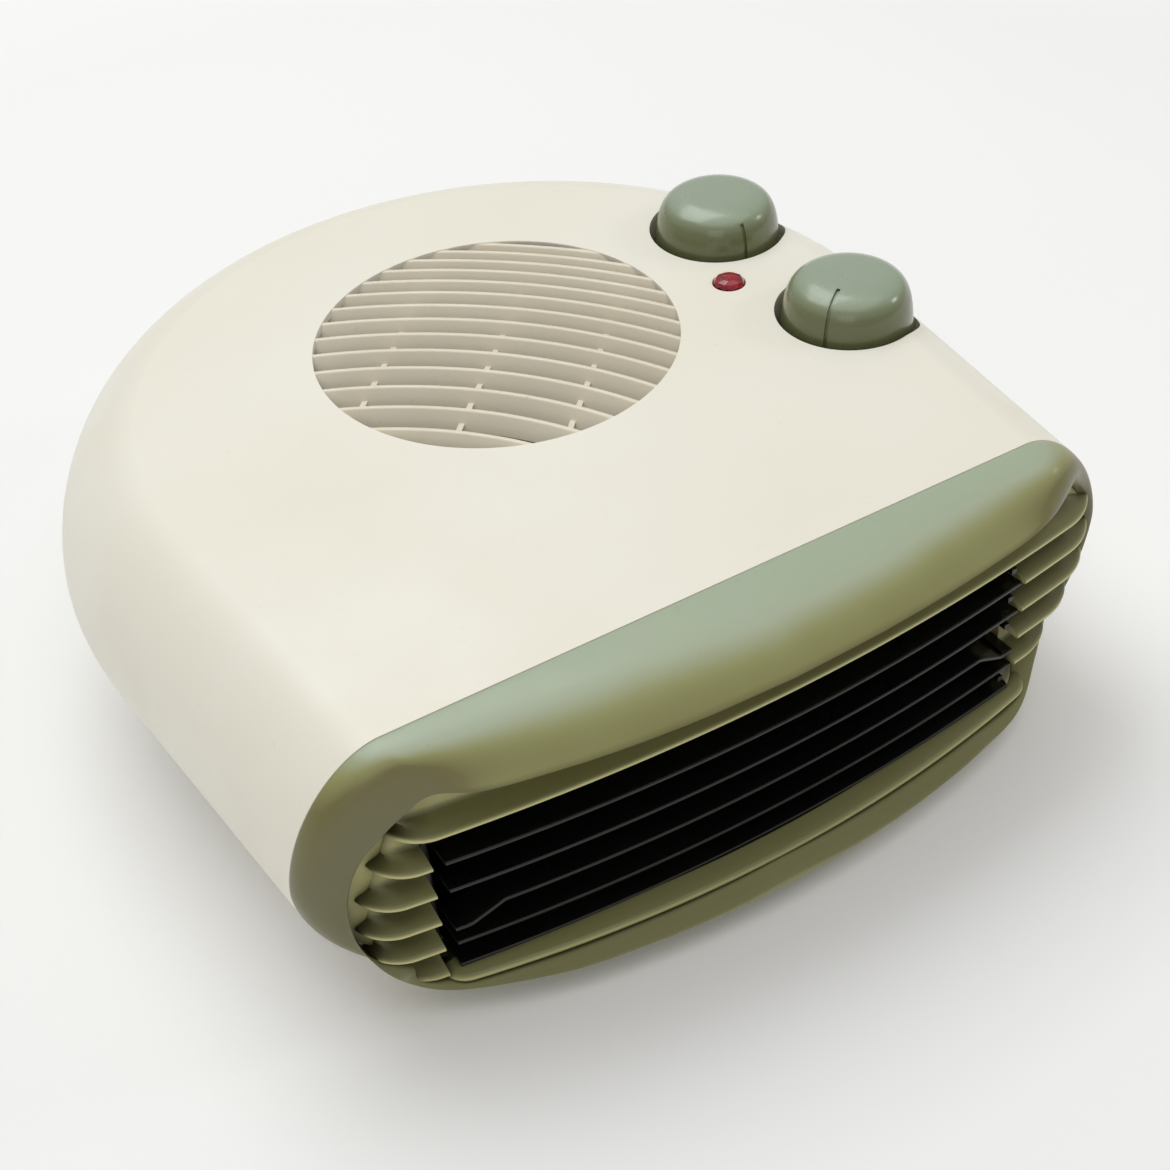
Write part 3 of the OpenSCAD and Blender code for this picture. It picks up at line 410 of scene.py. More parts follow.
def piece(obj, name, body, mat, slot, *nodes, angle=35):
    """Turns the mesh to metres, smooths it, gives it its body and finish, and hides the CAD nodes it stands
    for.
    """
    obj.name = name
    obj.data.name = name
    obj.data.transform(Matrix.Scale(MM, 4))
    obj.data.materials.clear()
    obj.data.materials.append(mat)
    if angle is not None:
        smooth(obj, angle)
    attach(obj, body)
    if nodes:
        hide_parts(*nodes)


def own_normals(obj, field):
    """Gives the faces that lie on an analytic surface that surface's own normals."""
    mesh = obj.data
    loop_vert = np.zeros(len(mesh.loops), int)
    mesh.loops.foreach_get("vertex_index", loop_vert)
    centres = np.array([p.center[:] for p in mesh.polygons])
    normals = np.array([p.normal[:] for p in mesh.polygons])
    wanted, on_surface = field(centres)
    good = on_surface & ((wanted * normals).sum(1) > 0.93)
    vert_normals, _ = field(np.array([v.co[:] for v in mesh.vertices]))
    out = np.zeros((len(mesh.loops), 3))
    for polygon in mesh.polygons:
        if good[polygon.index]:
            for i in polygon.loop_indices:
                out[i] = vert_normals[loop_vert[i]]
    mesh.normals_split_custom_set([tuple(v) for v in out])


def drum(cx, cy, r, z0, z1, n=128):
    angles = np.linspace(0, 2 * math.pi, n, endpoint=False)
    verts = [(cx + r * math.cos(t), cy + r * math.sin(t), z) for z in (z0, z1) for t in angles]
    faces = [(i, (i + 1) % n, n + (i + 1) % n, n + i) for i in range(n)]
    faces += [tuple(range(n))[::-1], tuple(range(n, 2 * n))]
    return build("drum", verts, faces)


def block(x0, x1, y0, y1, z0, z1):
    verts = [(x, y, z) for z in (z0, z1) for y in (y0, y1) for x in (x0, x1)]
    faces = [(0, 2, 3, 1), (4, 5, 7, 6), (0, 1, 5, 4), (2, 6, 7, 3), (0, 4, 6, 2), (1, 3, 7, 5)]
    return build("block", verts, faces)


def lathe(profile, n):
    """Turns (radius, height) points round the upright axis. Points at radius 0 become one point."""
    verts, rows = [], []
    for r, z in profile:
        if r < 1e-6:
            rows.append([len(verts)] * n)
            verts.append((0, 0, z))
        else:
            rows.append(list(range(len(verts), len(verts) + n)))
            angles = [2 * math.pi * i / n for i in range(n)]
            verts += [(r * math.cos(t), r * math.sin(t), z) for t in angles]
    faces = []
    for low, high in zip(rows, rows[1:]):
        for i in range(n):
            j = (i + 1) % n
            corners = [low[i], low[j], high[j], high[i]]
            face = [v for k, v in enumerate(corners) if v not in corners[:k]]
            if len(face) > 2:
                faces.append(face)
    return outward(build("lathe", verts, faces))


def closed_ring(points):
    """Quads over a grid of points whose last row meets its first."""
    rows, cols = points.shape[:2]
    faces = []
    for i in range(rows):
        for j in range(cols - 1):
            a, b = i * cols + j, ((i + 1) % rows) * cols + j
            faces.append((a, b, b + 1, a + 1))
    return outward(build("ring", points.reshape(-1, 3), faces))


def closed_sweep(points):
    """A solid from closed profiles, rows along the way, columns round the profile."""
    rows, cols = points.shape[:2]
    faces = []
    for i in range(rows - 1):
        for j in range(cols):
            k = (j + 1) % cols
            faces.append((i * cols + j, (i + 1) * cols + j, (i + 1) * cols + k, i * cols + k))
    faces.append(tuple(range(cols)))
    faces.append(tuple(range((rows - 1) * cols, rows * cols))[::-1])
    return outward(build("sweep", points.reshape(-1, 3), faces))


def curve(ts, pts, t):
    """A smooth curve through points at given places."""
    ts, pts = np.asarray(ts, float), np.asarray(pts, float)
    slope = np.gradient(pts, ts, axis=0)
    t = np.atleast_1d(t)
    i = np.clip(np.searchsorted(ts, t, side="right") - 1, 0, len(ts) - 2)
    step = (ts[i + 1] - ts[i])[:, None]
    u = ((t - ts[i]) / step[:, 0])[:, None]
    start, end = pts[i], pts[i + 1]
    leave, arrive = slope[i] * step, slope[i + 1] * step
    return ((2 * u**3 - 3 * u**2 + 1) * start + (u**3 - 2 * u**2 + u) * leave
            + (3 * u**2 - 2 * u**3) * end + (u**3 - u**2) * arrive)


def ease(x):
    x = np.clip(x, 0, 1)
    return x * x * (3 - 2 * x)


# The body: a half round behind, sides that draw in forwards, superellipse corners above and below
POWER = 1.75
EXP = 2 / POWER
BACK_R, BACK_Y, FRONT_Y = 130.0, 4.0, -101.5
TOP, WAIST, UNDER = 86.0, 50.0, 7.0
TOP_W, TOP_H = 27.0, TOP - WAIST
LOW_W, LOW_H = 40.0, WAIST - UNDER
PART_Z, WALL = 26.0, 2.4
TILT = math.radians(5.76)
SIN, COS = math.sin(TILT), math.cos(TILT)
DRAWN_IN = (BACK_Y - FRONT_Y) * math.tan(TILT)


def upper_corner(q, inset=0.0):
    """A point of the upper corner. q is 0 at the waist and a right angle on top."""
    return (BACK_R - TOP_W + (TOP_W - inset) * max(math.cos(q), 0) ** EXP,
            WAIST + (TOP_H - inset) * max(math.sin(q), 0) ** EXP)


def lower_corner(q, inset=0.0):
    """A point of the lower corner. q is 0 at the waist and a right angle underneath."""
    return (BACK_R - LOW_W + (LOW_W - inset) * max(math.cos(q), 0) ** EXP,
            WAIST - (LOW_H - inset) * max(math.sin(q), 0) ** EXP)


def lower_q(z, inset=0.0):
    """Where the lower corner is at a height."""
    return math.asin(min(1, ((WAIST - z) / (LOW_H - inset)) ** (1 / EXP)))


def upper_section(inset, n):
    return [upper_corner(q, inset) for q in np.linspace(0, QUARTER, n)]


def lower_section(inset, q0, q1, n):
    return [lower_corner(q, inset) for q in np.linspace(q0, q1, n)]


def body_block(section, y_front, n_line=30, n_arc=72):
    """A closed solid of the body between the ends of a section."""
    k = len(section)
    stops = [("line", f) for f in np.linspace(1, 0, n_line, endpoint=False)]
    stops += [("arc", a) for a in np.linspace(-TILT, QUARTER, n_arc)]
    rows = []
    for side in (1, -1):
        part = []
        for kind, v in stops:
            row = []
            for x, z in section:
                if kind == "line":
                    run = (BACK_Y - x * SIN - y_front) / COS * v
                    row.append((side * (x * COS - run * SIN), BACK_Y - x * SIN - run * COS, z))
                else:
                    row.append((side * x * math.cos(v), BACK_Y + x * math.sin(v), z))
            part.append(row)
        rows += part if side == 1 else part[-2::-1]
    n = len(rows)
    faces = []
    for i in range(n - 1):
        for j in range(k - 1):
            a, b = i * k + j, (i + 1) * k + j
            faces.append((a, b, b + 1, a + 1))
    faces.append([i * k + k - 1 for i in range(n)])
    faces.append([i * k for i in range(n)][::-1])
    faces.append(list(range(k)) + [(n - 1) * k + j for j in range(k - 1, -1, -1)])
    return outward(build("body", np.array(rows).reshape(-1, 3), faces))


def whole_body(inset, n_low, n_top, y_front, n_line, n_arc):
    """The body from underneath to the top, drawn in by an inset."""
    section = lower_section(inset, QUARTER, 0, n_low) + upper_section(inset, n_top)[1:]
    return body_block(section, y_front, n_line, n_arc)


def body_field(points):
    """The body's own normals at points, and which points lie on it."""
    x, y, z = np.abs(points[:, 0]), points[:, 1] - BACK_Y, points[:, 2]
    on_line = -(x * SIN + y * COS) > 0
    across = np.where(on_line, x * COS - y * SIN, np.hypot(x, y))
    size = np.maximum(np.hypot(x, y), 1e-9)
    nx = np.where(on_line, COS, x / size) * np.where(points[:, 0] < 0, -1, 1)
    ny = np.where(on_line, -SIN, y / size)
    high = z >= WAIST
    wide, tall = np.where(high, TOP_W, LOW_W), np.where(high, TOP_H, LOW_H)
    u = np.maximum(across - (BACK_R - wide), 0) / wide
    v = np.abs(z - WAIST) / tall
    sideways, upright = u ** (POWER - 1) / wide, v ** (POWER - 1) / tall * np.where(high, 1, -1)
    normal = np.stack([nx * sideways, ny * sideways, upright], 1)
    normal /= np.maximum(np.linalg.norm(normal, axis=1), 1e-12)[:, None]
    return normal, np.abs(u**POWER + v**POWER - 1) < 0.03


def body_field_in_metres(points):
    return body_field(points / MM)


# What the shells are cut for
AXIS, INTAKE_R = (5.5, 21.5), 52.2
LAMP, LAMP_HOLE_R = (75.0, 6.5), 4.85
REAR_KNOB, FRONT_KNOB = (90.0, 34.5), (94.0, -25.0)
WELL_R, WELL_Z, SPINDLE_HOLE_R = 20.7, 72.0, 5.1
SCREWS = [(104.0, -80.5), (-104.0, -80.5), (80.6, 75.5), (-80.6, 75.5), (0.0, 110.0)]
SCREW_HOLE_R, SCREW_POST_R = 4.0, 5.6
GLAND_PLACE, GLAND_R = (40, 108, 18), 8.25
# Heights that the cutting drums go from and to, and how far other cutters pass the parting line
INSIDE, ABOVE, WELL_ABOVE = 60, 100, 120
UNDER_PARTING, OVER_PARTING = PART_Z - 4, PART_Z + 8
PAST_FRONT = FRONT_Y - 8


def near_ring(centre, r, low=-1000, high=1000, gap=0.05):
    """Picks the points close to an upright cylinder, between two heights."""
    return lambda v: abs(math.hypot(v.x - centre[0], v.y - centre[1]) - r) < gap and low < v.z < high


def on_parting(v):
    """Picks the points of the line where the two shells meet."""
    return abs(v.z - PART_Z) < 0.01 and body_field(np.array([v[:]]))[1][0]


def knob_cup(centre):
    """The well under a knob, with a hole for its spindle."""
    cup = drum(*centre, WELL_R + WALL, WELL_Z - WALL, ABOVE, 96)
    section = lower_section(0.5, lower_q(UNDER_PARTING, 0.5), 0, 10) + upper_section(0.5, 14)[1:]
    cut(cup, body_block(section, FRONT_Y, 10, 40), "INTERSECT")
    cut(cup, drum(*centre, WELL_R + 0.12, WELL_Z, WELL_ABOVE, 160))
    cut(cup, drum(*centre, SPINDLE_HOLE_R, INSIDE, WELL_ABOVE, 48))
    return cup


def top_shell():
    outer = lower_section(0, lower_q(PART_Z), 0, 16) + upper_section(0, 24)[1:]
    inner = lower_section(WALL, lower_q(UNDER_PARTING, WALL), 0, 12) + upper_section(WALL, 16)[1:]
    shell = body_block(outer, FRONT_Y)
    cut(shell, body_block(inner, PAST_FRONT, 12, 40))
    cut(shell, drum(*AXIS, INTAKE_R, INSIDE, ABOVE, 192))
    cut(shell, drum(*LAMP, LAMP_HOLE_R, INSIDE, ABOVE, 64))
    for centre in (REAR_KNOB, FRONT_KNOB):
        cut(shell, drum(*centre, WELL_R, INSIDE, WELL_ABOVE, 160))
    soften(shell, near_ring(AXIS, INTAKE_R, low=TOP - 0.1), 0.3)
    soften(shell, near_ring(LAMP, LAMP_HOLE_R, low=TOP - 0.1), 0.3)
    for centre in (REAR_KNOB, FRONT_KNOB):
        soften(shell, near_ring(centre, WELL_R, low=74), 0.7)
    soften(shell, lambda v: abs(v.y - FRONT_Y) < 0.01, 0.25, 2)
    soften(shell, on_parting, 0.35, 2)
    join(shell, knob_cup(REAR_KNOB), knob_cup(FRONT_KNOB))
    piece(shell, "top_shell_skin", "case", cream, "cream_plastic", "top_shell")
    own_normals(shell, body_field_in_metres)


def base_shell():
    shell = body_block(lower_section(0, QUARTER, lower_q(PART_Z), 26), FRONT_Y)
    inner = lower_section(WALL, QUARTER, lower_q(OVER_PARTING, WALL), 20)
    cut(shell, body_block(inner, PAST_FRONT, 12, 40))
    for centre in SCREWS:
        post = drum(*centre, SCREW_POST_R, 3, PART_Z, 48)
        section = lower_section(1.2, QUARTER, lower_q(PART_Z + 4, 1.2), 16)
        cut(post, body_block(section, FRONT_Y, 8, 30), "INTERSECT")
        cut(shell, drum(*centre, SCREW_HOLE_R, 0, 40, 48))
        cut(post, drum(*centre, SCREW_HOLE_R, 0, 20, 48))
        join(shell, post)
    gland_hole = drum(0, 0, GLAND_R, 0, 60, 64)
    gland_hole.data.transform(Matrix.Translation(GLAND_PLACE) @ Matrix.Rotation(-QUARTER, 4, "X"))
    cut(shell, gland_hole)
    for centre in SCREWS:
        soften(shell, near_ring(centre, SCREW_HOLE_R, high=22, gap=0.03), 0.4, 2)
    soften(shell, on_parting, 0.35, 2)
    piece(shell, "base_shell_skin", "case", cream, "cream_plastic", "base_shell")
    own_normals(shell, body_field_in_metres)


top_shell()
base_shell()

# Front bezel: hood, cheeks and chin in one ring. Its places run from the top middle to the bottom middle
TOP_END, WAIST_AT, LOW_END, LAST = 0.4, 0.7, 1.0, 1.4
HOOD_END, HOOD_FADE = 0.34, 0.16
CHIN_START, CHIN_FADE = 0.93, 0.1
RIM_PLACES = [0, 0.14, 0.28, 0.36, 0.42, 0.49, 0.56, 0.63, 0.70, 0.77, 0.84, 0.90, 0.96, 1.03, 1.12,
              1.22, 1.32, 1.4]
CHIN = [(86, -118.9, 8.6), (66, -125.7, 8.3), (43, -130.5, 8.3), (19, -133.3, 8.3), (0, -133.98, 8.3)]
LEFT_HOOD = [(0, -129.2, 76), (30, -127.8, 76), (60, -123.7, 76), (78, -119.4, 76), (87.3, -114.2, 75.6)]
LEFT_CHEEK = [(94, -111.9, 70.7), (100.5, -110.8, 65.3), (105.5, -109.8, 59.5), (109, -108.8, 51),
              (110, -108.2, 42), (109, -108, 31.5), (106, -108.4, 22.5), (101, -110.5, 14.5),
              (91, -116.2, 9.6)]
RIGHT_HOOD = [(0, -129.2, 76), (30, -128, 76), (60, -124.9, 76), (78, -121.9, 76), (88, -118.8, 76)]
RIGHT_CHEEK = [(96.5, -114.2, 75.2), (103.5, -108.6, 72.2), (110.5, -104.4, 65), (114.8, -102.9, 56),
               (116, -102.6, 46), (113.5, -102.7, 35), (107.5, -103.6, 23), (99, -109.5, 13.5)]
RIM_LEFT = LEFT_HOOD + LEFT_CHEEK + CHIN[1:]
RIM_RIGHT = RIGHT_HOOD + RIGHT_CHEEK + CHIN
# The lip at the seam as (inward, ahead, along y), and the rim's roll as (onward, back)
SEAM_LIP = [(1.2, 0.0, 0.05), (0.3, 0.0, -0.08), (0.06, 0.16, 0.0)]
RIM_ROLL = [(0.35, 0.1), (0.65, 0.4), (0.85, 0.9), (0.92, 1.6)]
HOOD_LIP, CHEEK_LIP = 12.0, 6.5


def front_width(corner_x):
    """How far the shells reach sideways at their front edge."""
    return corner_x / COS - DRAWN_IN


def front_outline(t):
    """The shells' outline at the front edge: x, z, the way out, and how far to the side it is."""
    if t <= TOP_END:
        wide = t / TOP_END
        return front_width(BACK_R - TOP_W) * wide, TOP, (0, 1), wide
    if t > LOW_END:
        wide = (LAST - t) / (LAST - LOW_END)
        return front_width(BACK_R - LOW_W) * wide, UNDER, (0, -1), wide
    if t <= WAIST_AT:
        q = QUARTER * (WAIST_AT - t) / (WAIST_AT - TOP_END)
        x, z = upper_corner(q)
        wide, tall = TOP_W, TOP_H
    else:
        q = QUARTER * (t - WAIST_AT) / (LOW_END - WAIST_AT)
        x, z = lower_corner(q)
        wide, tall = LOW_W, -LOW_H
    out = (max(math.cos(q), 0) ** (EXP * 0.75) / wide, math.sin(q) ** (EXP * 0.75) / tall)
    size = math.hypot(*out)
    return front_width(x), z, (out[0] / size, out[1] / size), 1.0


def bezel_row(t, side):
    """One section of the bezel, from the seam with the shells to inside its rim."""
    x, z, out, wide = front_outline(t)
    start = np.array([x, FRONT_Y, z])
    rim = curve(RIM_PLACES, RIM_RIGHT if side > 0 else RIM_LEFT, t)[0]
    ahead = np.array([-SIN * wide, -COS, 0.0])
    inward = np.array([-out[0], 0.0, -out[1]])
    lateral = (rim - start) * (1, 0, 1)
    reach = np.linalg.norm(lateral)
    lateral = lateral / max(reach, 1e-6)
    hood = 1 - ease((t - HOOD_END) / HOOD_FADE)
    chin = ease((t - CHIN_START) / CHIN_FADE)
    onward = lateral * (0.97 - 0.30 * hood) - np.array([0, 0.22 + 0.52 * hood + 0.08 * chin, 0])
    onward /= np.linalg.norm(onward)
    length = np.linalg.norm(rim - start)
    first = start + ahead * 0.35
    near_first = first + ahead * length * (0.5 - 0.02 * hood)
    near_rim = rim - onward * min(0.4 * length, 1.15 * reach)
    row = [start + inward * i + ahead * a + np.array([0, y, 0]) for i, a, y in SEAM_LIP]
    for u in np.linspace(0, 1, 23):
        v = 1 - u
        row.append(v**3 * first + 3 * u * v**2 * near_first + 3 * u * u * v * near_rim + u**3 * rim)
    lip = HOOD_LIP * hood + CHEEK_LIP * (1 - hood) * (1 - chin) + HOOD_LIP * chin
    for on, back in RIM_ROLL + [(0.95, lip * 0.5), (1.0, lip)]:
        row.append(rim + onward * on + np.array([0, back, 0]))
    row = np.array(row)
    row[:, 2] = np.clip(row[:, 2], UNDER + 0.02, TOP)
    row[:, 0] *= side
    return row


def front_bezel():
    places = np.concatenate([np.linspace(0, HOOD_END, 30, endpoint=False),
                             np.linspace(HOOD_END, 1.06, 90, endpoint=False),
                             np.linspace(1.06, LAST, 31)])
    rows = [bezel_row(t, 1) for t in places] + [bezel_row(t, -1) for t in places[-2:0:-1]]
    bezel = closed_ring(np.array(rows))
    piece(bezel, "front_bezel_skin", "case", sage, "sage_plastic", "front_bezel", angle=60)


front_bezel()

# Ribs round the outlet: their bow, pitch and top, and the window between their ends
RIB_Y, RIB_BOW_R, RIB_PITCH, RIB_TOP, RIB_COUNT = -120.5, 600.0, 9.8, 60.0, 6
RIB_DEPTH, RIB_LOW, RIB_HIGH = 7.5, 9.7, 74.5
LEFT_TURN_R, RIGHT_TURN_R = 12.0, 20.0
RIB_LAST_Y, RIB_BACK_Y = -100.0, -96.0
WINDOW = (-89.6, 86.4)
# One rib's section as depth behind its lip, and height over its place
RIB_SECTION = [(6.6, -0.35), (0.8, -0.1), (0.25, 0.05), (0.05, 0.35), (0.0, 0.75), (0.12, 1.1),
               (0.5, 1.4), (1.1, 1.6), (2.6, 2.05), (4.4, 2.6), (6.2, 3.2), (7.1, 3.8), (7.5, 4.8)]
# Heights, then how far the lips and the walls behind them reach at the left and at the right
END_Z = [9, 11.8, 21.6, 31.4, 41.2, 51, 60.8, 68.5, 76]
LIP_LEFT = [99, 102, 107, 108, 106.5, 102, 97, 99, 95]
WALL_LEFT = [97, 100, 105, 106, 104.5, 100, 95.5, 98, 93]
LIP_RIGHT = [93, 95.5, 108, 115.5, 120.5, 121, 119.5, 118, 110]
WALL_RIGHT = [91, 93.5, 106, 113.5, 117.5, 118, 118, 116.5, 109]
# The backing plates, as x from and to, and z from
PLATES = [(-113.5, WINDOW[0] - 1, 9), (WINDOW[1] + 1, 113.5, 9), (-95, 95, RIB_TOP + 1)]
PLATE_Y, PLATE_TOP = (-103.6, -100.0), 76
# The low rib that stands in front of the others, its section as depth and height
LOW_RIB_Y, LOW_RIB_BOW_R, LOW_RIB_ENDS, LOW_RIB_TURN_R = -126.5, 375.0, (91.0, 93.5), 8.0
LOW_RIB_SECTION = [(16, 9.0), (0.9, 9.1), (0.25, 9.3), (0.0, 9.8), (0.12, 10.4), (0.55, 10.85),
                   (1.3, 11.1), (4, 11.5), (6.4, 11.8), (6.6, 11.2), (16, 10.6)]
LOW_RIB_TURNED = 7.0


def bowed(x_end, y_front, bow_r, turn_r, n_bow=24, n_turn=16):
    """One half of a rib's plan: the bow, then an end that turns back. Points and inward directions."""
    first = math.asin(min(0.5, (x_end - turn_r) / bow_r))
    last = math.radians(84)
    x_turn = x_end - turn_r * (math.sin(last) - math.sin(first))
    points = [(x, y_front + x * x / (2 * bow_r)) for x in np.linspace(0, x_turn, n_bow)]
    inward = [(-x / bow_r, 1.0) for x, _ in points]
    y_turn = points[-1][1]
    for angle in np.linspace(first, last, n_turn)[1:]:
        points.append((x_turn + turn_r * (math.sin(angle) - math.sin(first)),
                       y_turn + turn_r * (math.cos(first) - math.cos(angle))))
        inward.append((-math.sin(angle), math.cos(angle)))
    inward = np.array(inward)
    return np.array(points), inward / np.linalg.norm(inward, axis=1)[:, None]


def rib_plan(left, right, y_front, bow_r, turn_left, turn_right):
    left_points, left_inward = bowed(left, y_front, bow_r, turn_left)
    right_points, right_inward = bowed(right, y_front, bow_r, turn_right)
    points = np.vstack([left_points[:0:-1] * (-1, 1), right_points])
    points[:, 1] = np.minimum(points[:, 1], RIB_LAST_Y)
    return points, np.vstack([left_inward[:0:-1] * (-1, 1), right_inward])


def rib_profile():
    """Depth behind the lips against height, from the bottom up."""
    out = [(RIB_DEPTH, RIB_LOW)]
    for i in reversed(range(RIB_COUNT)):
        z = RIB_TOP - RIB_PITCH * i
        if i < RIB_COUNT - 1:
            out.append((RIB_DEPTH, z - 0.9))
        out += [(depth, z + height) for depth, height in RIB_SECTION]
    return out + [(RIB_DEPTH, RIB_TOP + 9.5), (RIB_DEPTH, RIB_HIGH)]


def rib_reach(depth, z, lips, walls):
    """How far a line of the ribs reaches sideways, from the lips' ends to the walls'."""
    deep = float(ease(depth / RIB_DEPTH))
    return float(np.interp(z, END_Z, lips)) * (1 - deep) + (float(np.interp(z, END_Z, walls)) + depth) * deep


def half_width(z):
    """How far the shells reach sideways at their front edge, above the waist."""
    q = math.asin(min(1.0, max(0.0, (z - WAIST) / TOP_H)) ** (1 / EXP))
    return front_width(upper_corner(q)[0])


def behind_seam():
    return block(-140, 140, FRONT_Y - 0.1, -80, 0, 95)


def side_ribs():
    """The six ribs as one bowed wall, opened at the window."""
    lines = []
    for depth, z in rib_profile():
        left = rib_reach(depth, z, LIP_LEFT, WALL_LEFT)
        right = rib_reach(depth, z, LIP_RIGHT, WALL_RIGHT)
        plan, inward = rib_plan(left, right, RIB_Y, RIB_BOW_R, LEFT_TURN_R, RIGHT_TURN_R)
        line = plan + inward * depth
        if z > WAIST:
            line[:, 0] = np.minimum(line[:, 0], half_width(z) - 1.0)
        lines.append(np.column_stack([line, np.full(len(line), z)]))
    front = np.stack(lines, 1)
    back = front[:, ::-1].copy()
    back[:, :, 1] = RIB_BACK_Y
    back[:, :, 0] *= 0.995
    ribs = closed_sweep(np.concatenate([front, back[:, [0, -1]]], 1))
    cut(ribs, block(*WINDOW, -140, -90, 10.1, RIB_TOP))
    cut(ribs, behind_seam())
    return ribs


def backing_plate(x0, x1, z0):
    plate = block(x0, x1, *PLATE_Y, z0, PLATE_TOP)
    cut(plate, whole_body(3.0, 24, 16, -106.0, 6, 20), "INTERSECT")
    return plate


def low_rib():
    plan, inward = rib_plan(*LOW_RIB_ENDS, LOW_RIB_Y, LOW_RIB_BOW_R, LOW_RIB_TURN_R, LOW_RIB_TURN_R)
    lines = []
    for depth, z in LOW_RIB_SECTION:
        line = plan + inward * min(depth, LOW_RIB_TURNED)
        line[:, 1] += max(depth - LOW_RIB_TURNED, 0)
        lines.append(np.column_stack([line, np.full(len(line), z)]))
    rib = closed_sweep(np.stack(lines, 1))
    cut(rib, behind_seam())
    return rib


def outlet_ribs():
    ribs = side_ribs()
    join(ribs, *[backing_plate(*plate) for plate in PLATES], low_rib())
    piece(ribs, "outlet_ribs", "case", sage_rib, "sage_plastic", "outlet_grille", angle=40)


outlet_ribs()

# Black slats: their span, bow and section, and the posts that carry them
SLAT_ENDS, SLAT_Y, SLAT_BOW_R = (-86.0, 86.2), -119.6, 560.0
DIPPED_SLAT, DIP, DIP_FROM, DIP_OVER = 3, 4.6, 73, 9
SLAT_THICK, SLAT_DEPTH = 1.1, 9.0
SLAT_POSTS, SLAT_POST_HALF, SLAT_POST_Y = (-53, -18, 18, 53), 0.7, (-108.5, -105.0)
END_POSTS, END_POST_Y, POST_Z = [(-88.2, -87.2), (87.2, 88.2)], (-104.6, -102.0), (13.4, 59.6)
STUB_X, STUB_Y, STUB_HALF = (82.6, 84.2), (-112.6, -104.5), 0.8
# The slats at the top and the bottom: height, front, thickness and depth
TOP_SLAT, BOTTOM_SLAT = (59.6, -114.0, 1.5, 8.0), (12.3, SLAT_Y, 1.6, 16.0)


def slat(z_top, front_y, thick, depth, dip=0.0):
    """One bowed slat. A dip lets it down at both ends."""
    shape = [(0.0, -0.4), (0.1, -0.15), (0.3, -0.03), (0.7, 0.0), (depth, -0.5), (depth, -0.5 - thick),
             (0.7, -thick), (0.3, -thick + 0.06), (0.1, -thick + 0.2)]
    rows = []
    for x in np.linspace(*SLAT_ENDS, 121):
        down = dip * min(1, max(0, (abs(x) - DIP_FROM) / DIP_OVER))
        y = front_y + x * x / (2 * SLAT_BOW_R)
        rows.append([(x, y + back, z_top + up - down) for back, up in shape])
    return closed_sweep(np.array(rows))


def outlet_slats():
    parts = []
    for i in (1, 2, 3, 4):
        dip = DIP if i == DIPPED_SLAT else 0
        parts.append(slat(RIB_TOP - RIB_PITCH * i, SLAT_Y, SLAT_THICK, SLAT_DEPTH, dip))
    parts.append(slat(*TOP_SLAT))
    parts.append(slat(*BOTTOM_SLAT))
    for x0, x1 in END_POSTS:
        parts.append(block(x0, x1, *END_POST_Y, *POST_Z))
    for i in range(RIB_COUNT - 1):
        z = RIB_TOP - RIB_PITCH * (i + 0.5)
        parts.append(block(*STUB_X, *STUB_Y, z - STUB_HALF, z + STUB_HALF))
    for x in SLAT_POSTS:
        parts.append(block(x - SLAT_POST_HALF, x + SLAT_POST_HALF, *SLAT_POST_Y, *POST_Z))
    join(*parts)
    piece(parts[0], "outlet_slats", "case", black, "black_plastic", "outlet_guard", angle=40)


outlet_slats()

# Intake blades: arcs round one far centre, each a little closer to the next, and three bars under them
BLADE_TURN = math.radians(46 - 90)
BLADE_COUNT, BLADE_R, BLADE_FIRST, BLADE_STEP, BLADE_SHRINK = 14, 150.0, 44.2, 10.0, 0.45
BLADE_TOP = TOP - 0.35
BLADE_SECTION = [(0.0, -0.25), (-0.12, -0.08), (-0.4, 0.0), (-1.0, 0.0), (-1.3, -0.1), (-1.5, -0.35),
                 (-4.1, -4.8), (-3.9, -5.1), (-2.8, -5.1), (-2.5, -4.9)]
BAR_GAP, BAR_HALF = 29.5, 0.8


def blade(i):
    """One louvre, trimmed by the intake's hole."""
    r = BLADE_R + i * BLADE_STEP - BLADE_FIRST - BLADE_SHRINK * i * (i - 1) / 2
    hole = (INTAKE_R + 0.6) ** 2
    reach = [math.acos(((r + d) ** 2 + BLADE_R**2 - hole) / (2 * (r + d) * BLADE_R))
             for d, _ in BLADE_SECTION]
    cos, sin = math.cos(BLADE_TURN), math.sin(BLADE_TURN)
    rows = []
    for f in np.linspace(-1, 1, 61):
        row = []
        for (d, up), half in zip(BLADE_SECTION, reach):
            x = (r + d) * math.sin(half * f)
            y = (r + d) * math.cos(half * f) - BLADE_R
            row.append((AXIS[0] + x * cos - y * sin, AXIS[1] + x * sin + y * cos, BLADE_TOP + up))
        rows.append(row)
    return closed_sweep(np.array(rows))


def blade_bar(i):
    """One of the bars that carry the blades. i is 0 in the middle, and -1 and 1 beside it."""
    x = i * BAR_GAP
    bar = block(x - BAR_HALF, x + BAR_HALF, -46 + 6 * abs(i), 47 - 7 * abs(i), TOP - 6.2, TOP - 3.4)
    bar.data.transform(Matrix.Translation((*AXIS, 0)) @ Matrix.Rotation(BLADE_TURN, 4, "Z"))
    return bar


def intake_blades():
    parts = [blade(i) for i in range(BLADE_COUNT)] + [blade_bar(i) for i in (-1, 0, 1)]
    join(*parts)
    piece(parts[0], "intake_blades", "case", cream_blade, "grille_plastic", "intake_grille", angle=50)


intake_blades()

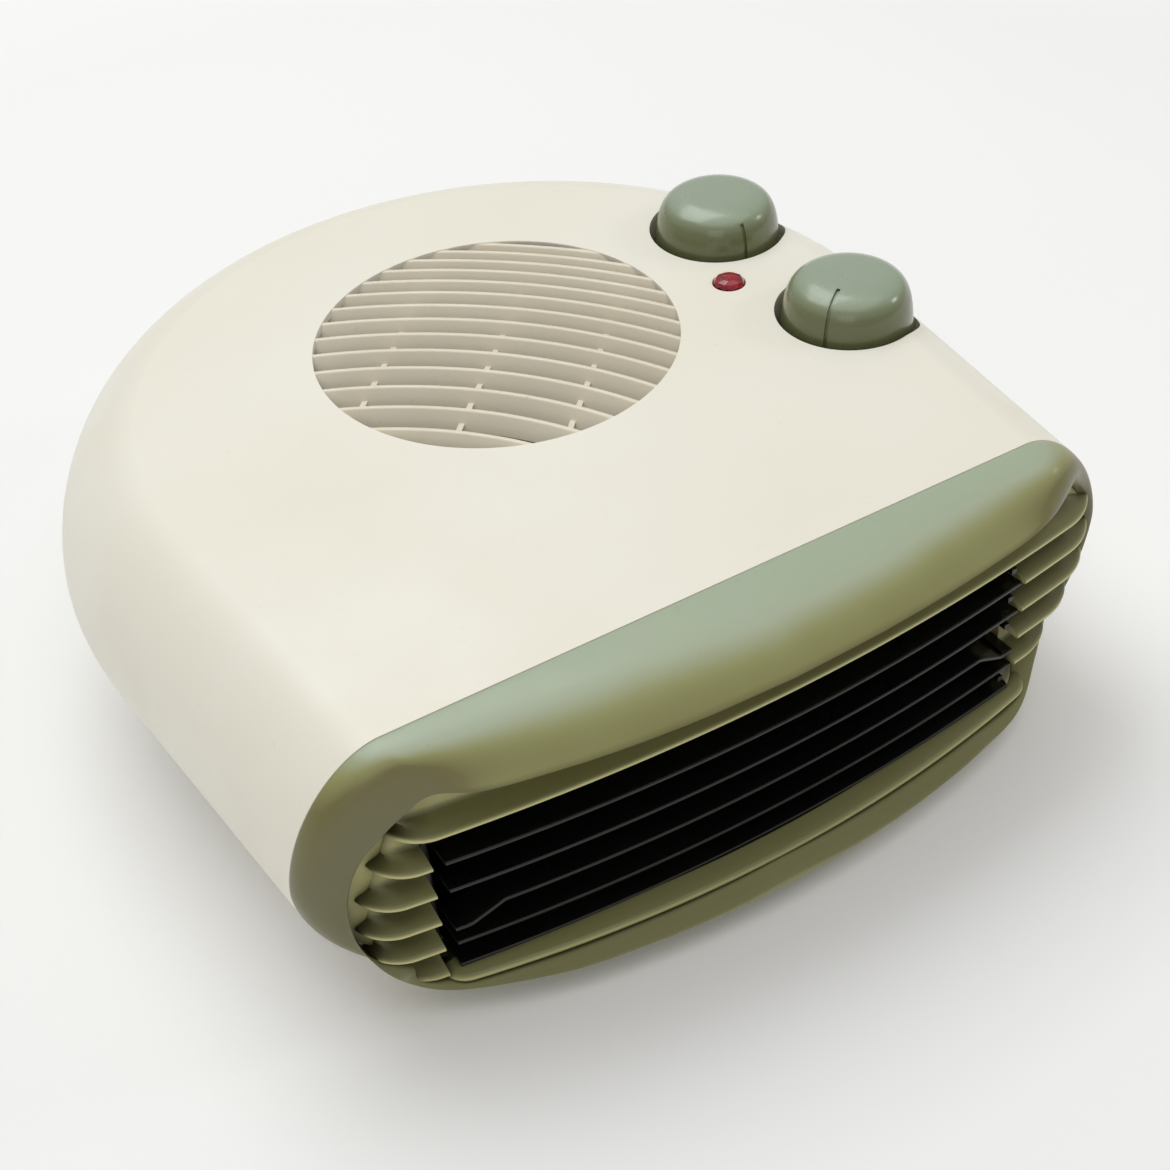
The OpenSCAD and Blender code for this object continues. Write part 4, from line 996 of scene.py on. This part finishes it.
# Knobs: the dome as (radius, height), the skirt, and the pointer's groove
KNOB_R, KNOB_FOOT, KNOB_BORE_R, KNOB_BORE_Z = 18.9, 74.0, 10.5, 79.0
KNOB_DOME = [(0, 98.3), (4, 98.2), (8, 97.85), (11, 97.3), (13.3, 96.5), (15.2, 95.3), (16.6, 93.6),
             (17.5, 91.6), (18.1, 89.2), (18.6, 85.5), (KNOB_R, 81.0)]
KNOB_SKIRT = [(KNOB_R, KNOB_FOOT + 0.3), (KNOB_R - 0.2, KNOB_FOOT), (KNOB_BORE_R, KNOB_FOOT),
              (KNOB_BORE_R, KNOB_BORE_Z), (0, KNOB_BORE_Z)]
GROOVE_HALF, GROOVE_DEPTH, GROOVE_LOW = 0.55, 0.75, 80


def knob_dome(inset, n=60):
    """The dome's outline, drawn in by an inset."""
    steps = np.linalg.norm(np.diff(np.array(KNOB_DOME), axis=0), axis=1)
    along = np.concatenate([[0], np.cumsum(steps)])
    points = curve(along, KNOB_DOME, np.linspace(0, along[-1], n))
    run = np.gradient(points, axis=0)
    run /= np.linalg.norm(run, axis=1)[:, None]
    out = np.column_stack([-run[:, 1], run[:, 0]])
    out[0] = (0, 1)
    points = points - out * inset * np.where(out[:, 1:] < -0.5, -1, 1)
    points[0, 0] = 0
    return [tuple(p) for p in points]


def knob(centre, pointer_deg, groove_from, name, body, node):
    obj = lathe(knob_dome(0) + KNOB_SKIRT, 160)
    skin = BVHTree.FromPolygons([v.co[:] for v in obj.data.vertices],
                                [tuple(p.vertices) for p in obj.data.polygons])
    core = lathe(knob_dome(GROOVE_DEPTH) + [(KNOB_R - GROOVE_DEPTH, 70.0), (0, 70.0)], 160)
    groove = block(groove_from, 30, -GROOVE_HALF, GROOVE_HALF, KNOB_FOOT - 1, 110)
    cut(groove, core)
    cut(obj, groove)

    def groove_edge(v):
        beside = abs(abs(v.y) - GROOVE_HALF) < 0.01
        return beside and v.x > groove_from - 0.1 and math.hypot(v.x, v.y) < 19.6 and v.z > GROOVE_LOW

    def on_skin(edge):
        gap = skin.find_nearest((edge.verts[0].co + edge.verts[1].co) / 2)[3]
        return gap is not None and gap < 0.02

    def work(bm):
        edges = [e for e in sharp_edges(bm, groove_edge, 0.8) if on_skin(e)]
        round_edges(bm, edges, 0.22, 2)

    edit(obj, work)
    turn = Matrix.Rotation(math.radians(pointer_deg), 4, "Z")
    smooth(obj, 35)
    obj.data.transform(Matrix.Translation((*centre, 0)) @ turn)
    piece(obj, name, body, sage_knob, "knob_plastic", node)


# Place, the way the pointer shows in degrees, and where its groove starts from the middle
knob(REAR_KNOB, -97, 15.5, "rear_knob", "thermostat_control", "thermostat_knob")
knob(FRONT_KNOB, -146.5, 8.5, "front_knob", "selector_control", "selector_knob")

# Indicator lens: rings as (radius, height, share of a side that the ring is turned by)
LENS_SIDES = 10
LENS_RINGS = [(4.55, 80.0, 0.0), (4.55, 85.9, 0.0), (4.5, 86.3, 0.5), (3.9, 87.2, 0.0), (2.5, 87.9, 0.5),
              (1.1, 88.15, 0.0)]


def lens_ring(r, z, turned):
    angles = [2 * math.pi * (i + turned) / LENS_SIDES for i in range(LENS_SIDES)]
    return [(LAMP[0] + r * math.cos(t), LAMP[1] + r * math.sin(t), z) for t in angles]


def indicator_lens():
    """A faceted jewel: flat sides below, and triangles between rings that are turned."""
    verts = [v for ring in LENS_RINGS for v in lens_ring(*ring)]
    faces = []
    for a, (low, high) in enumerate(zip(LENS_RINGS, LENS_RINGS[1:])):
        p, q = a * LENS_SIDES, (a + 1) * LENS_SIDES
        for i in range(LENS_SIDES):
            j = (i + 1) % LENS_SIDES
            if low[2] == high[2]:
                faces.append((p + i, p + j, q + j, q + i))
            elif high[2] > low[2]:
                faces += [(p + i, p + j, q + i), (p + j, q + j, q + i)]
            else:
                faces += [(p + i, q + j, q + i), (p + i, p + j, q + j)]
    last = (len(LENS_RINGS) - 1) * LENS_SIDES
    faces.append(tuple(last + i for i in range(LENS_SIDES)))
    faces.append(tuple(range(LENS_SIDES))[::-1])
    lens = outward(build("lens", verts, faces))
    piece(lens, "indicator_jewel", "case", red, "red_lens", "indicator_lens", angle=None)


indicator_lens()

# Studio: sizes in metres, lamps in watts
FLOOR_HALF = 6.0
GLOW, GLOW_FROM, GLOW_TO = 0.55, 0.45, 2.2
WORLD_COLOUR, WORLD_LIGHT = (1.0, 0.985, 0.96, 1), 0.44
WHITE = (1, 1, 1, 1)
# Name, place, target, size, power and colour
LAMPS = [
    ("key", (-0.1, 0.6, 1.25), (0, 0, 0.05), (1.1, 0.8), 7.15, (0.97, 1.0, 1.0)),
    ("overhead", (0.1, -0.1, 1.5), (0, 0, 0), (1.6, 1.6), 5.7, (1, 1, 1)),
    ("fill", (-0.7, -1.0, 0.8), (0, 0, 0.05), (0.7, 0.7), 1.5, (1.0, 0.98, 0.94)),
    ("glint", (1.0, -0.35, 0.6), (0.05, 0, 0.05), (0.2, 0.15), 0.8, (1, 1, 1)),
]


def studio_floor():
    """A pale floor that glows a little far off, where the lamps don't reach."""
    n = Nodes("studio_floor")
    tone = n.ramp(n.noise(2, 2), [(0.3, (0.93, 0.93, 0.93, 1)), (0.7, (0.95, 0.95, 0.95, 1))])
    away = n.add("ShaderNodeVectorMath", operation="LENGTH")
    n.link(n.coord.outputs["Object"], away.inputs[0])
    far_glow = n.spread(away.outputs["Value"], 0.0, GLOW, GLOW_FROM, GLOW_TO)
    n.shader(Base_Color=tone, Roughness=0.9, Emission_Color=WHITE, Emission_Strength=far_glow)
    h = FLOOR_HALF
    floor = build("studio_floor", [(-h, -h, 0), (h, -h, 0), (h, h, 0), (-h, h, 0)], [(0, 1, 2, 3)])
    floor.data.materials.append(n.mat)


def studio_world():
    """Soft light all round, and plain white where the camera looks past the floor."""
    world = bpy.data.worlds.new("studio")
    bpy.context.scene.world = world
    world.use_nodes = True
    tree = world.node_tree
    tree.nodes.clear()
    out = tree.nodes.new("ShaderNodeOutputWorld")
    light = tree.nodes.new("ShaderNodeBackground")
    light.inputs["Color"].default_value = WORLD_COLOUR
    light.inputs["Strength"].default_value = WORLD_LIGHT
    seen = tree.nodes.new("ShaderNodeBackground")
    seen.inputs["Color"].default_value = WHITE
    seen.inputs["Strength"].default_value = 1.0
    path = tree.nodes.new("ShaderNodeLightPath")
    either = tree.nodes.new("ShaderNodeMath")
    either.operation = "MAXIMUM"
    mix = tree.nodes.new("ShaderNodeMixShader")
    tree.links.new(path.outputs["Is Camera Ray"], either.inputs[0])
    tree.links.new(path.outputs["Is Transmission Ray"], either.inputs[1])
    tree.links.new(either.outputs[0], mix.inputs["Fac"])
    tree.links.new(light.outputs[0], mix.inputs[1])
    tree.links.new(seen.outputs[0], mix.inputs[2])
    tree.links.new(mix.outputs[0], out.inputs["Surface"])


def add_lamp(name, place, target, size, power, colour):
    data = bpy.data.lights.new(name, "AREA")
    data.shape = "RECTANGLE"
    data.size, data.size_y = size
    data.energy = power
    data.color = colour
    lamp = bpy.data.objects.new(name, data)
    lamp.location = place
    lamp.rotation_euler = (Vector(target) - Vector(place)).to_track_quat("-Z", "Y").to_euler()
    bpy.context.scene.collection.objects.link(lamp)


studio_floor()
studio_world()
for lamp in LAMPS:
    add_lamp(*lamp)
